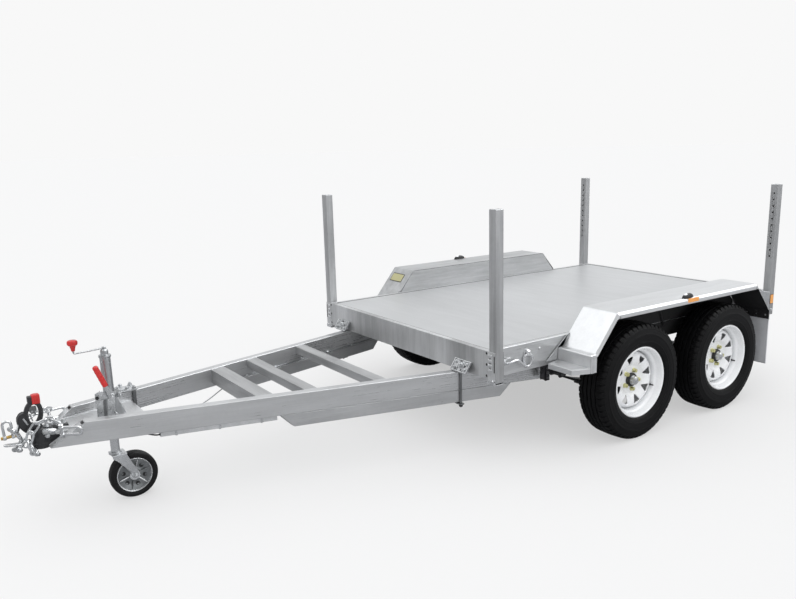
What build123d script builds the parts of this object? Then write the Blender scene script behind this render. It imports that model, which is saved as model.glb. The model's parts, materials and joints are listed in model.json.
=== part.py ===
from build123d import *
import math
import os

os.makedirs("parts", exist_ok=True)

# ---------------------------------------------------------------------------
# Flat-top tandem-axle trailer, millimetres.  Front (drawbar) looks along -Y,
# the trailer's own left side is +X, up is +Z, the floor is Z = 0.
# Below, lengths along the trailer are measured back from the front face of
# the deck; Y_MID moves them so that the whole trailer is centred on Y = 0.
# ---------------------------------------------------------------------------
Y_MID = 188.5            # mid length of the whole trailer

# deck and its edges
DECK_HALF = 798.0        # half width over the side rails
DECK_LEN = 2450.0        # front panel face to rear rail face
DECK_TOP = 610.0         # height of the deck surface
EDGE_H = 145.0           # height of the folded edge panels
SHEET = 3.0              # sheet thickness of panels, deck and guards
EDGE_BOT = DECK_TOP - EDGE_H

# corner posts
POST = 50.0
POST_WALL = 3.0
POST_OUT = 848.0         # outer face of the posts from the centre line
POST_TOP = 1310.0
POST_BOT = 452.0
POST_F = 4.0             # front face of the front posts
POST_R = 2400.0          # front face of the rear posts
HOLE_R = 5.5             # peg holes in the rear posts
HOLE_N = 11
HOLE_PITCH = 41.0
HOLE_TOP = 1254.0

# drawbar
RAIL_W, RAIL_H, RAIL_T = 50.0, 100.0, 4.0
LOW_H = 65.0
RAIL_TOP = EDGE_BOT
RAIL_BOT = RAIL_TOP - RAIL_H
LOW_BOT = RAIL_BOT - LOW_H
OUT0 = 605.0             # outer face of a rail at the deck front
OUT1 = 154.0             # outer face of a rail at its front top corner
RAIL_LEN = 1766.0        # deck front to the rail's front top corner

# running gear
TYRE_R, TYRE_W = 325.0, 188.0
WHEEL_OUT = 1034.0       # outer side of the tyres
AXLE_Z = TYRE_R
AXLE_F, AXLE_R = 898.0, 1678.0
SPRING_X = 752.0
RIM_R = 195.0
GUARD_OUT = 1042.0
GUARD_TOP = 747.0

# jockey stand
JOCKEY_Y = -1620.0
JW_R = 112.0
JW_W = 58.0
JW_TRAIL = 70.0          # castor trail of the jockey wheel

# coupling
BALL_Y = -1925.0
SOCKET_R = 25.3

SH = Pos(0, -Y_MID, 0)


def box(x0, x1, y0, y1, z0, z1):
    return Pos((x0 + x1) / 2, (y0 + y1) / 2, (z0 + z1) / 2) * Box(x1 - x0, y1 - y0, z1 - z0)


def prism(points, vec):
    """A flat polygon of 3-D points pushed along vec."""
    w = Wire.make_polygon([Vector(*p) for p in points], close=True)
    return Solid.extrude(Face(w), Vector(*vec))


def prism_x(yz, x0, x1):
    return prism([(x0, y, z) for y, z in yz], (x1 - x0, 0, 0))


def rod(p, q, r):
    """Round bar from p to q."""
    p, q = Vector(*p), Vector(*q)
    d = q - p
    return Solid.make_cylinder(r, d.length, Plane(origin=p, z_dir=d))


def tube(p, q, r, ri):
    return rod(p, q, r) - rod(p, q, ri)


def mirror_x(s):
    return mirror(s, about=Plane.YZ)


def bent(pts, t):
    """Closed polygon of a strip of thickness t on the right of an open line."""
    n = len(pts)
    off = []
    for i in range(n):
        dirs = []
        if i > 0:
            dirs.append((pts[i][0] - pts[i - 1][0], pts[i][1] - pts[i - 1][1]))
        if i < n - 1:
            dirs.append((pts[i + 1][0] - pts[i][0], pts[i + 1][1] - pts[i][1]))
        ns = []
        for dx, dy in dirs:
            l = math.hypot(dx, dy)
            ns.append((dy / l, -dx / l))
        if len(ns) == 1:
            off.append((pts[i][0] + ns[0][0] * t, pts[i][1] + ns[0][1] * t))
        else:
            bx, by = ns[0][0] + ns[1][0], ns[0][1] + ns[1][1]
            l2 = bx * bx + by * by
            off.append((pts[i][0] + bx * 2 * t / l2, pts[i][1] + by * 2 * t / l2))
    return list(pts) + off[::-1]


NODES = {}


def node(name, shape):
    NODES[name] = shape


# ---------------------------------------------------------------------------
# Deck and its folded edges
# ---------------------------------------------------------------------------
XI = DECK_HALF - SHEET            # inner side of the side rail's web
NX = POST_OUT - POST - 8.0        # inner web of a post bracket
BF0, BF1 = 0.0, POST_F + POST + 5.0
BR0, BR1 = POST_R - 4.0, POST_R + POST

FLANGE = 30.0                     # width of the folded edges on top
deck = box(-DECK_HALF + FLANGE, DECK_HALF - FLANGE, FLANGE, DECK_LEN - FLANGE, DECK_TOP - 2 - SHEET, DECK_TOP - 2)
node("deck_plate", deck)

front = box(-NX, NX, 0, SHEET, EDGE_BOT, DECK_TOP)
front += box(-NX, NX, SHEET, FLANGE, DECK_TOP - SHEET, DECK_TOP)
front += box(-NX, NX, SHEET, 45, EDGE_BOT, EDGE_BOT + SHEET)
node("front_panel", front)

rear = box(-NX, NX, DECK_LEN - SHEET, DECK_LEN, EDGE_BOT, DECK_TOP)
rear += box(-NX, NX, DECK_LEN - FLANGE, DECK_LEN - SHEET, DECK_TOP - SHEET, DECK_TOP)
rear += box(-NX, NX, DECK_LEN - 45, DECK_LEN - SHEET, EDGE_BOT, EDGE_BOT + SHEET)
node("rear_rail", rear)


def post_bracket(y0, front_t, back_t):
    """U-shaped socket round three sides of a post whose front face is y0."""
    b = box(NX, POST_OUT, y0 - front_t, y0, POST_BOT - 4, DECK_TOP)
    b += box(NX, POST_OUT - POST, y0, y0 + POST, POST_BOT - 4, DECK_TOP)
    if back_t:
        b += box(NX, POST_OUT, y0 + POST, y0 + POST + back_t, POST_BOT - 4, DECK_TOP)
    return b


side = box(XI, DECK_HALF, BF1, BR0, EDGE_BOT, DECK_TOP)
side += box(DECK_HALF - FLANGE, XI, BF1, BR0, DECK_TOP - SHEET, DECK_TOP)
side += box(XI - 42, XI, BF1, BR0, EDGE_BOT, EDGE_BOT + SHEET)
side += post_bracket(POST_F, 4.0, 5.0)
side += post_bracket(POST_R, 4.0, 0.0)
side += box(NX, POST_OUT - POST, POST_R, DECK_LEN, EDGE_BOT, DECK_TOP)
node("side_rail_left", side)
node("side_rail_right", mirror_x(side))

# cross bearers under the deck, C-section 75 x 40
bearers = None
BZ1 = DECK_TOP - 2 - SHEET
for y in (330, 720, 1100, 1480, 1860, 2190):
    c = box(-XI + 45, XI - 45, y, y + 3, BZ1 - 75, BZ1)
    c += box(-XI + 45, XI - 45, y + 3, y + 40, BZ1 - 3, BZ1)
    c += box(-XI + 45, XI - 45, y + 3, y + 40, BZ1 - 75, BZ1 - 72)
    bearers = [c] if bearers is None else bearers + [c]
node("deck_bearers", Compound([b if isinstance(b, Solid) else b.solid() for b in bearers]))

# ---------------------------------------------------------------------------
# Posts: square tube, the rear pair with a row of peg holes
# ---------------------------------------------------------------------------


def post(y0, holes):
    x1, x0 = POST_OUT, POST_OUT - POST
    p = box(x0, x1, y0, y0 + POST, POST_BOT, POST_TOP)
    p -= box(x0 + POST_WALL, x1 - POST_WALL, y0 + POST_WALL, y0 + POST - POST_WALL, POST_BOT - 1, POST_TOP - 3)
    if holes:
        xc = (x0 + x1) / 2
        for i in range(HOLE_N):
            z = HOLE_TOP - i * HOLE_PITCH
            p -= rod((xc, y0 - 5, z), (xc, y0 + POST_WALL + 5, z), HOLE_R)
    return p


for name, y0, holes in (("front", POST_F, False), ("rear", POST_R, True)):
    p = post(y0, holes)
    node("post_%s_left" % name, p)
    node("post_%s_right" % name, mirror_x(p))

# ---------------------------------------------------------------------------
# Drawbar: A-frame of two stacked rails a side
# ---------------------------------------------------------------------------
SL = (OUT0 - OUT1) / RAIL_LEN                 # spread per millimetre
LH = math.hypot(1.0, SL)


def outer_x(y):
    return OUT0 + SL * y


IN_DX = RAIL_W * LH                            # rail width measured across X


def rail(y_top_f, y_bot_f, y_top_r, y_bot_r, z_top, z_bot, wall):
    """Tube along the slanting rail line with slanted ends; the cut planes
    run square to the trailer's centre line."""
    def quad(off_o, off_i, zt, zb, e):
        def at(y, x_off):
            return outer_x(y) - x_off * LH
        # side outline (Y, Z), swept across between the two side faces
        ys = [(y_top_f - e, zt), (y_top_r + e, zt), (y_bot_r + e, zb), (y_bot_f - e, zb)]
        a = [(at(y, off_o), y, z) for y, z in ys]
        vec = (-(off_i - off_o) * LH, 0, 0)
        return prism(a, vec)
    full = quad(0, RAIL_W, z_top, z_bot, 0)
    s_f = (y_bot_f - y_top_f) / (z_top - z_bot)
    s_r = (y_bot_r - y_top_r) / (z_top - z_bot)
    zt, zb = z_top - wall, z_bot + wall
    def at(y, x_off):
        return outer_x(y) - x_off * LH
    ytf, ybf = y_top_f + s_f * wall, y_bot_f - s_f * wall
    ytr, ybr = y_top_r + s_r * wall, y_bot_r - s_r * wall
    ext = 40.0
    ys = [(ytf - ext, zt), (ytr + ext, zt), (ybr + ext, zb), (ybf - ext, zb)]
    inner = prism([(at(y, wall), y, z) for y, z in ys], (-(RAIL_W - 2 * wall) * LH, 0, 0))
    return full - inner


main_rail = rail(-RAIL_LEN, -RAIL_LEN - 145, 437, 437, RAIL_TOP, RAIL_BOT, RAIL_T)
low_rail = rail(-936, -873, 262, 200, RAIL_BOT, LOW_BOT, 3.0)
node("drawbar_rail_left", main_rail)
node("drawbar_rail_right", mirror_x(main_rail))
node("drawbar_lower_rails", Compound([low_rail.solid(), mirror_x(low_rail).solid()]))

# cross bars between the rails; the first is deeper and carries the cable tab
bars = []
for y0, y1, h in ((-1022, -942, 75), (-792, -727, 45), (-444, -379, 45)):
    zt = RAIL_TOP - 3
    a, b = outer_x(y0) - IN_DX, outer_x(y1) - IN_DX
    b_ = prism([(-a, y0, zt), (a, y0, zt), (b, y1, zt), (-b, y1, zt)], (0, 0, -h))
    a2, b2 = a + 20, b + 20
    b_ -= box(-a2, a2, y0 + 4, y1 - 4, zt - h + 4, zt - 4)
    bars.append(b_.solid())
node("drawbar_crossbars", Compound(bars))

# nose plate welded between the rails, carries the coupling and the jockey
NP_T = 10.0
NP_Z = 410.0
npx = lambda y: outer_x(y) - IN_DX
nose = prism([(-npx(-1876), -1876, NP_Z), (npx(-1876), -1876, NP_Z), (npx(-1480), -1480, NP_Z), (-npx(-1480), -1480, NP_Z)], (0, 0, NP_T))
nose -= rod((0, JOCKEY_Y, NP_Z - 5), (0, JOCKEY_Y, NP_Z + NP_T + 5), 24.0)
nose -= box(42, 66, -1616, -1572, NP_Z - 5, NP_Z + NP_T + 5)      # cable slot
node("nose_plate", nose)

# ---------------------------------------------------------------------------
# Coupling with its ring lever
# ---------------------------------------------------------------------------
C_TOP = 440.0
C_BOT = 344.0
body = rod((0, BALL_Y, C_BOT), (0, BALL_Y, C_TOP), 42.0)
body += box(-36, 36, BALL_Y, -1836, 354, NP_Z)
body += box(-36, 36, BALL_Y + 20, -1880, NP_Z - 10, NP_Z + NP_T)
body += box(-30, 30, BALL_Y + 20, -1812, NP_Z + NP_T, NP_Z + NP_T + 16)
body -= rod((0, BALL_Y, C_BOT - 1), (0, BALL_Y, C_BOT + 38), SOCKET_R)
body -= Pos(0, BALL_Y, C_BOT + 38) * Sphere(SOCKET_R)
node("coupling_body", body)

# upright oval ring with a square catch on top and a curved strap in front
RING_Y, RING_Z = -1948.0, 505.0
oval = [(math.cos(math.radians(a)), math.sin(math.radians(a))) for a in range(0, 360, 6)]
ring = prism_x([(RING_Y + 40 * c, RING_Z + 59 * s_) for c, s_ in oval], -12, 12)
ring -= prism_x([(RING_Y + 20 * c, RING_Z + 37 * s_) for c, s_ in oval], -13, 13)
ring += box(-12, 12, RING_Y + 2, RING_Y + 36, C_TOP, 466)
ring += box(-15, 15, RING_Y - 16, RING_Y + 36, 552, 589)
strap = [(-1980, 522), (-2004, 506), (-2013, 484), (-2007, 452), (-1986, 420), (-1967.3, 414),
         (-1967.3, 424), (-1980, 430), (-1997, 456), (-2002, 484), (-1995, 498), (-1976, 510)]
ring += prism_x(strap, -14, 14)
node("coupling_lever", ring)

# ---------------------------------------------------------------------------
# Jockey stand
# ---------------------------------------------------------------------------
JT_R, JT_RI, JL_R = 24.0, 21.0, 20.4
JT_BOT, JT_TOP = 352.0, 703.0
stand = tube((0, JOCKEY_Y, JT_BOT), (0, JOCKEY_Y, JT_TOP), JT_R - 0.05, JT_RI)
stand += rod((0, JOCKEY_Y, JT_TOP), (0, JOCKEY_Y, JT_TOP + 9), 26.5)
stand += rod((0, JOCKEY_Y, JT_TOP + 9), (0, JOCKEY_Y, JT_TOP + 35), 17.0)
node("jockey_tube", stand)

# clamp: split collar at half height, foot collar on the nose plate, gusset behind
NPT = NP_Z + NP_T
clamp = rod((0, JOCKEY_Y, NPT), (0, JOCKEY_Y, NPT + 14), 34.0)
clamp += rod((0, JOCKEY_Y, 500), (0, JOCKEY_Y, 534), 32.0)
clamp += box(-7, 7, JOCKEY_Y + 27, JOCKEY_Y + 52, 500, 534)
clamp += rod((-22, JOCKEY_Y + 42, 517), (26, JOCKEY_Y + 42, 517), 6.0)
clamp += prism_x([(JOCKEY_Y + 22, 504), (JOCKEY_Y + 30, 504), (JOCKEY_Y + 66, NPT), (JOCKEY_Y + 22, NPT)], -4, 4)
clamp -= rod((0, JOCKEY_Y, 380), (0, JOCKEY_Y, 560), JT_R)
node("jockey_clamp", clamp)

crank = rod((0, JOCKEY_Y, 738), (0, JOCKEY_Y, 748), 9)
crank += rod((0, JOCKEY_Y, 743), (0, JOCKEY_Y - 131, 743), 4.0)
crank += rod((0, JOCKEY_Y - 131, 739), (0, JOCKEY_Y - 131, 760), 6.0)
crank += Solid.make_cone(9.0, 21.0, 48, Plane(origin=(0, JOCKEY_Y - 131, 752), z_dir=(0, 0, 1)))
node("jockey_crank", crank)

FORK_Z = 2 * JW_R + 10
leg = rod((0, JOCKEY_Y, FORK_Z + 6), (0, JOCKEY_Y, 560), JL_R)
node("jockey_leg", leg)

fy = JOCKEY_Y + JW_TRAIL
fork = box(-38.5, 38.5, JOCKEY_Y - 26, fy + 24, FORK_Z, FORK_Z + 5)
for s in (-1, 1):
    x0, x1 = sorted((s * 34.5, s * 38.5))
    fork += prism_x([(JOCKEY_Y - 20, FORK_Z), (fy + 24, FORK_Z), (fy + 20, JW_R - 18), (fy - 20, JW_R - 18)], x0, x1)
fork += rod((-46, fy, JW_R), (46, fy, JW_R), 8.0)
node("jockey_fork", fork)

prof = [(8.05, -29), (24, -29), (24, -14), (84, -22), (90, -27), (104, -29), (110, -22), (112, 0),
        (110, 22), (104, 29), (90, 27), (84, 22), (24, 14), (24, 29), (8.05, 29)]
w = Wire.make_polygon([Vector(r, 0, a) for r, a in prof], close=True)
jw = Solid.revolve(Face(w), 360, Axis.Z)
jw = Pos(0, fy, JW_R) * Rot(0, 90, 0) * jw
node("jockey_wheel", jw)

# ---------------------------------------------------------------------------
# Hand brake
# ---------------------------------------------------------------------------
HB_X, HB_Y, HB_Z = 65.0, -1625.0, 530.0
QX0, QX1 = HB_X - 23, HB_X - 18            # quadrant plate
quad = prism_x([(-1690, NPT), (-1662, NPT), (-1662, 516), (-1606, 516), (-1606, 540), (-1640, 556), (-1690, 548)], QX0, QX1)
quad += box(QX0 - 26, QX0, -1690, -1662, NPT, NPT + 6)
quad += box(QX0 - 9, QX0, -1614, -1606, 517, 530)
quad += rod((QX0, HB_Y, HB_Z), (HB_X + 12, HB_Y, HB_Z), 6.0)
quad += rod((QX1, -1679, 541), (QX1 + 7, -1679, 541), 8.0)
node("handbrake_quadrant", quad)

GU = (-0.3584, 0.9336)                       # lever direction in (Y, Z)
lever = rod((HB_X - 12, HB_Y, HB_Z), (HB_X + 6, HB_Y, HB_Z), 15.0)
lever -= rod((HB_X - 20, HB_Y, HB_Z), (HB_X + 16, HB_Y, HB_Z), 6.05)


def along(d):
    return (HB_X, HB_Y + d * GU[0], HB_Z + d * GU[1])


lever += rod(along(12), along(70), 6.0)
lever += rod(along(58), along(164), 13.0)
lever -= rod((HB_X - 20, HB_Y, HB_Z), (HB_X + 16, HB_Y, HB_Z), 6.05)
node("handbrake_lever", lever)

# ---------------------------------------------------------------------------
# Running gear
# ---------------------------------------------------------------------------
WC = WHEEL_OUT - TYRE_W / 2                    # wheel centre plane
STUB_R = 19.0


def axle(y):
    a = box(-SPRING_X - 75, SPRING_X + 75, y - 22.5, y + 22.5, AXLE_Z - 22.5, AXLE_Z + 22.5)
    for s in (-1, 1):
        a += rod((s * (SPRING_X + 75), y, AXLE_Z), (s * 984, y, AXLE_Z), STUB_R)
        a += rod((s * (SPRING_X + 75), y, AXLE_Z), (s * (SPRING_X + 83), y, AXLE_Z), 115.0)
    return a


node("axle_front", axle(AXLE_F))
node("axle_rear", axle(AXLE_R))


def tyre():
    h, o, i = TYRE_W / 2, TYRE_R, RIM_R - 16
    pr = [(i, -h + 22), (i + 14, -h + 12), (i + 45, -h + 2), (i + 80, -h), (o - 32, -h + 8), (o - 8, -h + 24),
          (o, -h + 42), (o, h - 42), (o - 8, h - 24), (o - 32, h - 8), (i + 80, h), (i + 45, h - 2), (i + 14, h - 12), (i, h - 22)]
    wr = Wire.make_polygon([Vector(r, 0, a) for r, a in pr], close=True)
    air = Wire.make_polygon([Vector(r, 0, a) for r, a in [
        (i - 5, -h + 38), (i + 20, -h + 22), (i + 80, -h + 12), (o - 40, -h + 18), (o - 20, -h + 44),
        (o - 20, h - 44), (o - 40, h - 18), (i + 80, h - 12), (i + 20, h - 22), (i - 5, h - 38)]], close=True)
    return Solid.revolve(Face(wr), 360, Axis.Z) - Solid.revolve(Face(air), 360, Axis.Z)


def wheel_rim():
    h = TYRE_W / 2
    ri = RIM_R - 16
    b = Wire.make_polygon([Vector(r, 0, a) for r, a in [
        (ri - 0.0, -h + 22), (ri, h - 22), (ri - 5, h - 22), (ri - 12, h - 45), (ri - 12, -h + 45), (ri - 5, -h + 22)]], close=True)
    r = Solid.revolve(Face(b), 360, Axis.Z)
    # dished disc
    d = Wire.make_polygon([Vector(a, 0, z) for a, z in [
        (40, 8), (78, 8), (92, 26), (150, 34), (ri - 12, 12), (ri - 12, 7), (148, 29), (95, 21), (82, 3), (40, 3)]], close=True)
    disc = Solid.revolve(Face(d), 360, Axis.Z)
    for k in range(8):
        disc = disc - Rot(0, 0, 45 * k + 22.5) * Pos(122, 0, 30) * Box(30, 34, 40)
    # hub and bearing cap
    hub = Solid.make_cylinder(40, 66, Plane(origin=(0, 0, -36), z_dir=(0, 0, 1)))
    hub += Solid.make_cylinder(112, 44, Plane(origin=(0, 0, -52), z_dir=(0, 0, 1))) - Solid.make_cylinder(100, 38, Plane(origin=(0, 0, -53), z_dir=(0, 0, 1)))
    hub += Solid.make_cylinder(28, 30, Plane(origin=(0, 0, 30), z_dir=(0, 0, 1)))
    hub -= Solid.make_cylinder(STUB_R + 0.05, 88, Plane(origin=(0, 0, -40), z_dir=(0, 0, 1)))
    return r + disc + hub


T = tyre()
RM = wheel_rim()
for end, y in (("front", AXLE_F), ("rear", AXLE_R)):
    place = Pos(WC, y, AXLE_Z) * Rot(0, 90, 0)
    t, r = place * T, place * RM
    node("tyre_%s_left" % end, t)
    node("rim_%s_left" % end, r)
    node("tyre_%s_right" % end, mirror_x(t))
    node("rim_%s_right" % end, mirror_x(r))

# leaf springs under the axles, hangers and the rocker between them, one welded-up set a side
EYE_Z = 388.0
LEAF_T = 8.0
LEAVES = 5
HANG_IN = 365.0                   # hanger pin to axle, along Y


def springs():
    out = None
    mid = (AXLE_F + AXLE_R) / 2
    top = AXLE_Z - 22.5               # the leaves are clamped below the axle beam
    for yc, e0, e1 in ((AXLE_F, AXLE_F - HANG_IN, mid - 72), (AXLE_R, mid + 72, AXLE_R + HANG_IN)):
        for k in range(LEAVES):
            f = 1.0 - 0.17 * k
            a, b = yc + (e0 - yc) * f, yc + (e1 - yc) * f
            zt = top - LEAF_T * k
            rise = (EYE_Z - 6 - top) * f ** 1.7
            up, lo = [], []
            n = 6
            for i in range(n + 1):
                for side, end in ((0, a), (1, b)):
                    u = i / n
                    y = yc + (60 if end > yc else -60) * (1 - u) + (end - yc) * u
                    zz = zt + rise * u ** 1.7
                    (up if side == 0 else lo).append((y, zz))
            line = up[::-1] + lo
            leaf = prism_x(line + [(y, z - LEAF_T) for y, z in line[::-1]], SPRING_X - 30, SPRING_X + 30)
            out = leaf if out is None else out + leaf
        out += rod((SPRING_X - 30, e0, EYE_Z), (SPRING_X + 30, e0, EYE_Z), 15)
        out += rod((SPRING_X - 30, e1, EYE_Z), (SPRING_X + 30, e1, EYE_Z), 15)
        # clamp plate under the leaves
        out += box(SPRING_X - 45, SPRING_X + 45, yc - 50, yc + 50, top - LEAF_T * LEAVES - 8, top - LEAF_T * LEAVES)
    # hangers
    for yy, w_ in ((AXLE_F - HANG_IN, 44), (AXLE_R + HANG_IN, 44)):
        for s in (-1, 1):
            x0, x1 = sorted((SPRING_X + s * 30, SPRING_X + s * 36))
            out += prism_x([(yy - w_ - 8, EDGE_BOT), (yy + w_ + 8, EDGE_BOT), (yy + 26, EYE_Z - 18), (yy - 26, EYE_Z - 18)], x0, x1)
        out += rod((SPRING_X - 42, yy, EYE_Z), (SPRING_X + 42, yy, EYE_Z), 8)
    for s in (-1, 1):
        x0, x1 = sorted((SPRING_X + s * 30, SPRING_X + s * 36))
        out += prism_x([(mid - 60, EDGE_BOT), (mid + 60, EDGE_BOT), (mid + 26, EYE_Z - 6), (mid - 26, EYE_Z - 6)], x0, x1)
        out += prism_x([(mid - 92, EYE_Z - 16), (mid + 92, EYE_Z - 16), (mid + 92, EYE_Z + 14), (mid + 30, EYE_Z + 38), (mid - 30, EYE_Z + 38), (mid - 92, EYE_Z + 14)],
                       *sorted((SPRING_X + s * 36, SPRING_X + s * 41)))
    out += rod((SPRING_X - 44, mid, EYE_Z + 12), (SPRING_X + 44, mid, EYE_Z + 12), 10)
    for y in (mid - 72, mid + 72):
        out += rod((SPRING_X - 41, y, EYE_Z), (SPRING_X + 41, y, EYE_Z), 8)
    # black cable bracket ahead of the front hanger, joined to it by a strip
    out += box(SPRING_X - 4, SPRING_X + 36, 404, 436, EYE_Z - 14, EDGE_BOT)
    out += box(SPRING_X + 30, SPRING_X + 36, 420, AXLE_F - HANG_IN - 30, EDGE_BOT - 22, EDGE_BOT)
    return out


sp = springs()
node("springs_left", sp)
node("springs_right", mirror_x(sp))

# ---------------------------------------------------------------------------
# Mudguards: one bent strip over both wheels, lip outside, inner wall, step
# ---------------------------------------------------------------------------
G_LINE = [(476, 458), (476, 552), (512, 552), (674, GUARD_TOP), (1930, GUARD_TOP), (2093, 562), (2093, 502)]


def guard():
    x0, x1 = DECK_HALF, GUARD_OUT
    strip = bent(G_LINE, SHEET)
    g = prism_x(strip, x0, x1)
    # outer lip, 32 deep on the flat top, 14 on the slopes
    top_lip = [(674, GUARD_TOP), (1930, GUARD_TOP), (1945, 714), (660, 714)]
    g += prism_x(bent(G_LINE[2:], 16), x1 - SHEET, x1)
    g += prism_x(top_lip, x1 - SHEET, x1)
    # inner wall standing above the deck edge
    g += prism_x([(512 + 40, 600 - 8), (674, GUARD_TOP - 2), (1930, GUARD_TOP - 2), (2093 - 40, 602 - 8), (2050, 560), (560, 560)], x0, x0 + SHEET)
    # step tread with a turned-down front edge, outer end tapered
    tr = prism([(x0 + 6, 476, 486), (x1 - 4, 476, 486), (x1 - 40, 378, 486), (x0 + 34, 378, 486)], (0, 0, -4))
    g += tr
    g += prism([(x0 + 34, 378, 486), (x1 - 40, 378, 486), (x1 - 40, 382, 486), (x0 + 34, 382, 486)], (0, 0, -28))
    # side flange of the riser
    g += box(x1 - SHEET, x1, 476, 516, 458, 552)
    return g


gd = guard()
node("mudguard_left", gd)
node("mudguard_right", mirror_x(gd))

flap = box(862, 1030, 2096.2, 2101.2, 212, 548)
flap += box(862, 1030, 2093, 2096.2, 508, 548)
node("mudflaps", Compound([flap.solid(), mirror_x(flap).solid()]))

# ---------------------------------------------------------------------------
# Fittings
# ---------------------------------------------------------------------------


fit = []
for s in (-1, 1):
    xr = s * (outer_x(-26) + 9)
    # plate slanting from the panel down to the rail's top, with a long bolt through it
    pl = prism_x([(0, 527), (0, 519), (-35, RAIL_TOP + 0.5), (-42, RAIL_TOP + 0.5), (-42, 470), (-4.6, 527)], xr - 66, xr + 66)
    b = rod((xr, -26, LOW_BOT - 12), (xr, -26, RAIL_TOP + 34), 6)
    b += box(*sorted((xr + s * 10, xr - s * 34)), -38, -14, LOW_BOT - 8, LOW_BOT)
    fit.append(b + pl)
# U clamp over the right drawbar rail, with its plate on the rail's top
uy = -1463.0
ui = -(outer_x(uy) - IN_DX)
uo = -outer_x(uy)
uc = rod((ui + 8, uy, RAIL_BOT - 14), (ui + 8, uy, RAIL_TOP + 26), 6)
uc += rod((uo - 8, uy, RAIL_BOT - 14), (uo - 8, uy, RAIL_TOP + 26), 6)
uc += box(uo - 16, ui + 16, uy - 16, uy + 16, RAIL_BOT - 8, RAIL_BOT - 2)
uc += box(uo - 16, ui + 16, uy - 90, uy + 16, RAIL_TOP + 4, RAIL_TOP + 10)
fit.append(uc)
node("panel_clamps", Compound([f.solid() for f in fit]))


def lashing(y, z, r=30.0):
    """Round ring hanging from a welded staple on the side rail."""
    x = DECK_HALF
    rg = Pos(x + 10, y, z) * Rot(0, 90, 0) * (Cylinder(r + 5, 10) - Cylinder(r - 5, 12))
    st = box(x, x + 20, y - 14, y + 14, z + r - 10, z + r + 11)
    return rg + st


ring_l = [lashing(258, 522)]
rear_ring = lashing(2180, 522)
hk = FilletPolyline((DECK_HALF, 130, 536), (DECK_HALF + 26, 130, 536), (DECK_HALF + 26, 188, 532), (DECK_HALF + 26, 226, 492), radius=12)
hook = sweep(Plane(origin=(DECK_HALF, 130, 536), z_dir=(1, 0, 0)) * Circle(5), path=hk)
pts = []
for s in (ring_l[0], rear_ring, hook):
    pts.append(s.solid())
    pts.append(mirror_x(s).solid())
node("lashing_points", Compound(pts))

# marker lamps on the guards, reflectors on lips, posts and rear rail lamps
trim = []
for s in (-1, 1):
    trim.append(box(*sorted((s * (GUARD_OUT - 26), s * (GUARD_OUT - 4))), 1217, 1313, GUARD_TOP, GUARD_TOP + 24))
    trim.append(box(*sorted((s * GUARD_OUT, s * (GUARD_OUT + 3))), 1249, 1346, 722, 745))
    trim.append(box(*sorted((s * POST_OUT, s * (POST_OUT + 3))), POST_R + 8, POST_R + 42, 528, 588))
node("marker_lamps", Compound([t_.solid() for t_ in trim]))

lamps = []
for s in (-1, 1):
    lamps.append(box(*sorted((s * 560, s * 760)), DECK_LEN, DECK_LEN + 22, 495, 580))
node("tail_lamps", Compound([t_.solid() for t_ in lamps]))

plate = box(-186, 186, DECK_LEN, DECK_LEN + 4, 474, 608)
node("number_plate", plate)

# wiring conduit under the left rail
y0c, y1c = -1489, -949
cx = lambda y: outer_x(y) - 8
cond = prism([(cx(y0c + 22), y0c + 22, RAIL_BOT), (cx(y1c), y1c, RAIL_BOT), (cx(y1c) - 26, y1c, RAIL_BOT), (cx(y0c + 22) - 26, y0c + 22, RAIL_BOT)], (0, 0, -22))
node("wiring_conduit", cond)

# brake cable: sags from the hand brake to the first cross bar, then runs
# along the right rail and under the spring to the front brake
CAB_R = 2.5


def inner_r(y):
    return -(outer_x(y) - IN_DX - 9)


route = [(HB_X - 10, HB_Y + 8, 452), (HB_X - 12, -1590, 410), (46, -1520, 372), (8, -1425, 350), (-40, -1310, 338),
         (-96, -1190, 338), (-136, -1105, 351), (-180, -1020, 374), (-250, -930, 380), (inner_r(-820), -820, 378)]
yy = -700.0
while yy < 330:
    route.append((inner_r(yy), yy, 376 + (1.5 if len(route) % 2 else -1.5)))
    yy += 130.0
route += [(-618, 420, 372), (-636, 540, 362), (-652, 650, 350), (-668, 740, 336), (-704, 800, 324), (-764, 826, 320), (-826.5, 836, 320)]
rad = []
for a, b, c in zip(route[:-2], route[1:-1], route[2:]):
    a, b, c = Vector(*a), Vector(*b), Vector(*c)
    turn = math.radians((b - a).get_angle(c - b))
    rad.append(0.45 * min((b - a).length, (c - b).length) / math.tan(turn / 2))
print("cable radii", [round(r) for r in rad])
cpath = FilletPolyline(*route, radius=rad)
cable = sweep(Plane(origin=route[0], z_dir=Vector(*route[1]) - Vector(*route[0])) * Circle(CAB_R), path=cpath)
print("cable length %.0f, volume over section %.0f" % (cpath.length, cable.volume / (math.pi * CAB_R ** 2)))
node("brake_cable", cable)

# safety chains: oval links, each link clear of the next


def link(c, d, roll, L=54.0, W=35.0, t=5.0):
    """Oval chain link centred at c, long way along d, turned by roll."""
    r = W / 2 - t / 2
    h = L / 2 - W / 2
    z = Vector(*d).normalized()
    ref = Vector(0, 0, 1) if abs(z.Z) < 0.9 else Vector(1, 0, 0)
    u = z.cross(ref).normalized()
    v = z.cross(u)
    a = math.radians(roll)
    x = u * math.cos(a) + v * math.sin(a)
    pl = Plane(origin=Vector(*c), x_dir=x, z_dir=x.cross(z))
    # path in the plane: local x = x, local y = along the chain
    l1 = Line((r, -h), (r, h))
    l2 = ThreePointArc((r, h), (0, h + r), (-r, h))
    l3 = Line((-r, h), (-r, -h))
    l4 = ThreePointArc((-r, -h), (0, -h - r), (r, -h))
    path = Wire([l1, l2, l3, l4])
    sec = Plane(origin=(r, 0, 0), z_dir=(0, 1, 0)) * Circle(t)
    lk = sweep(sec, path=path)
    return pl * lk


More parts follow.
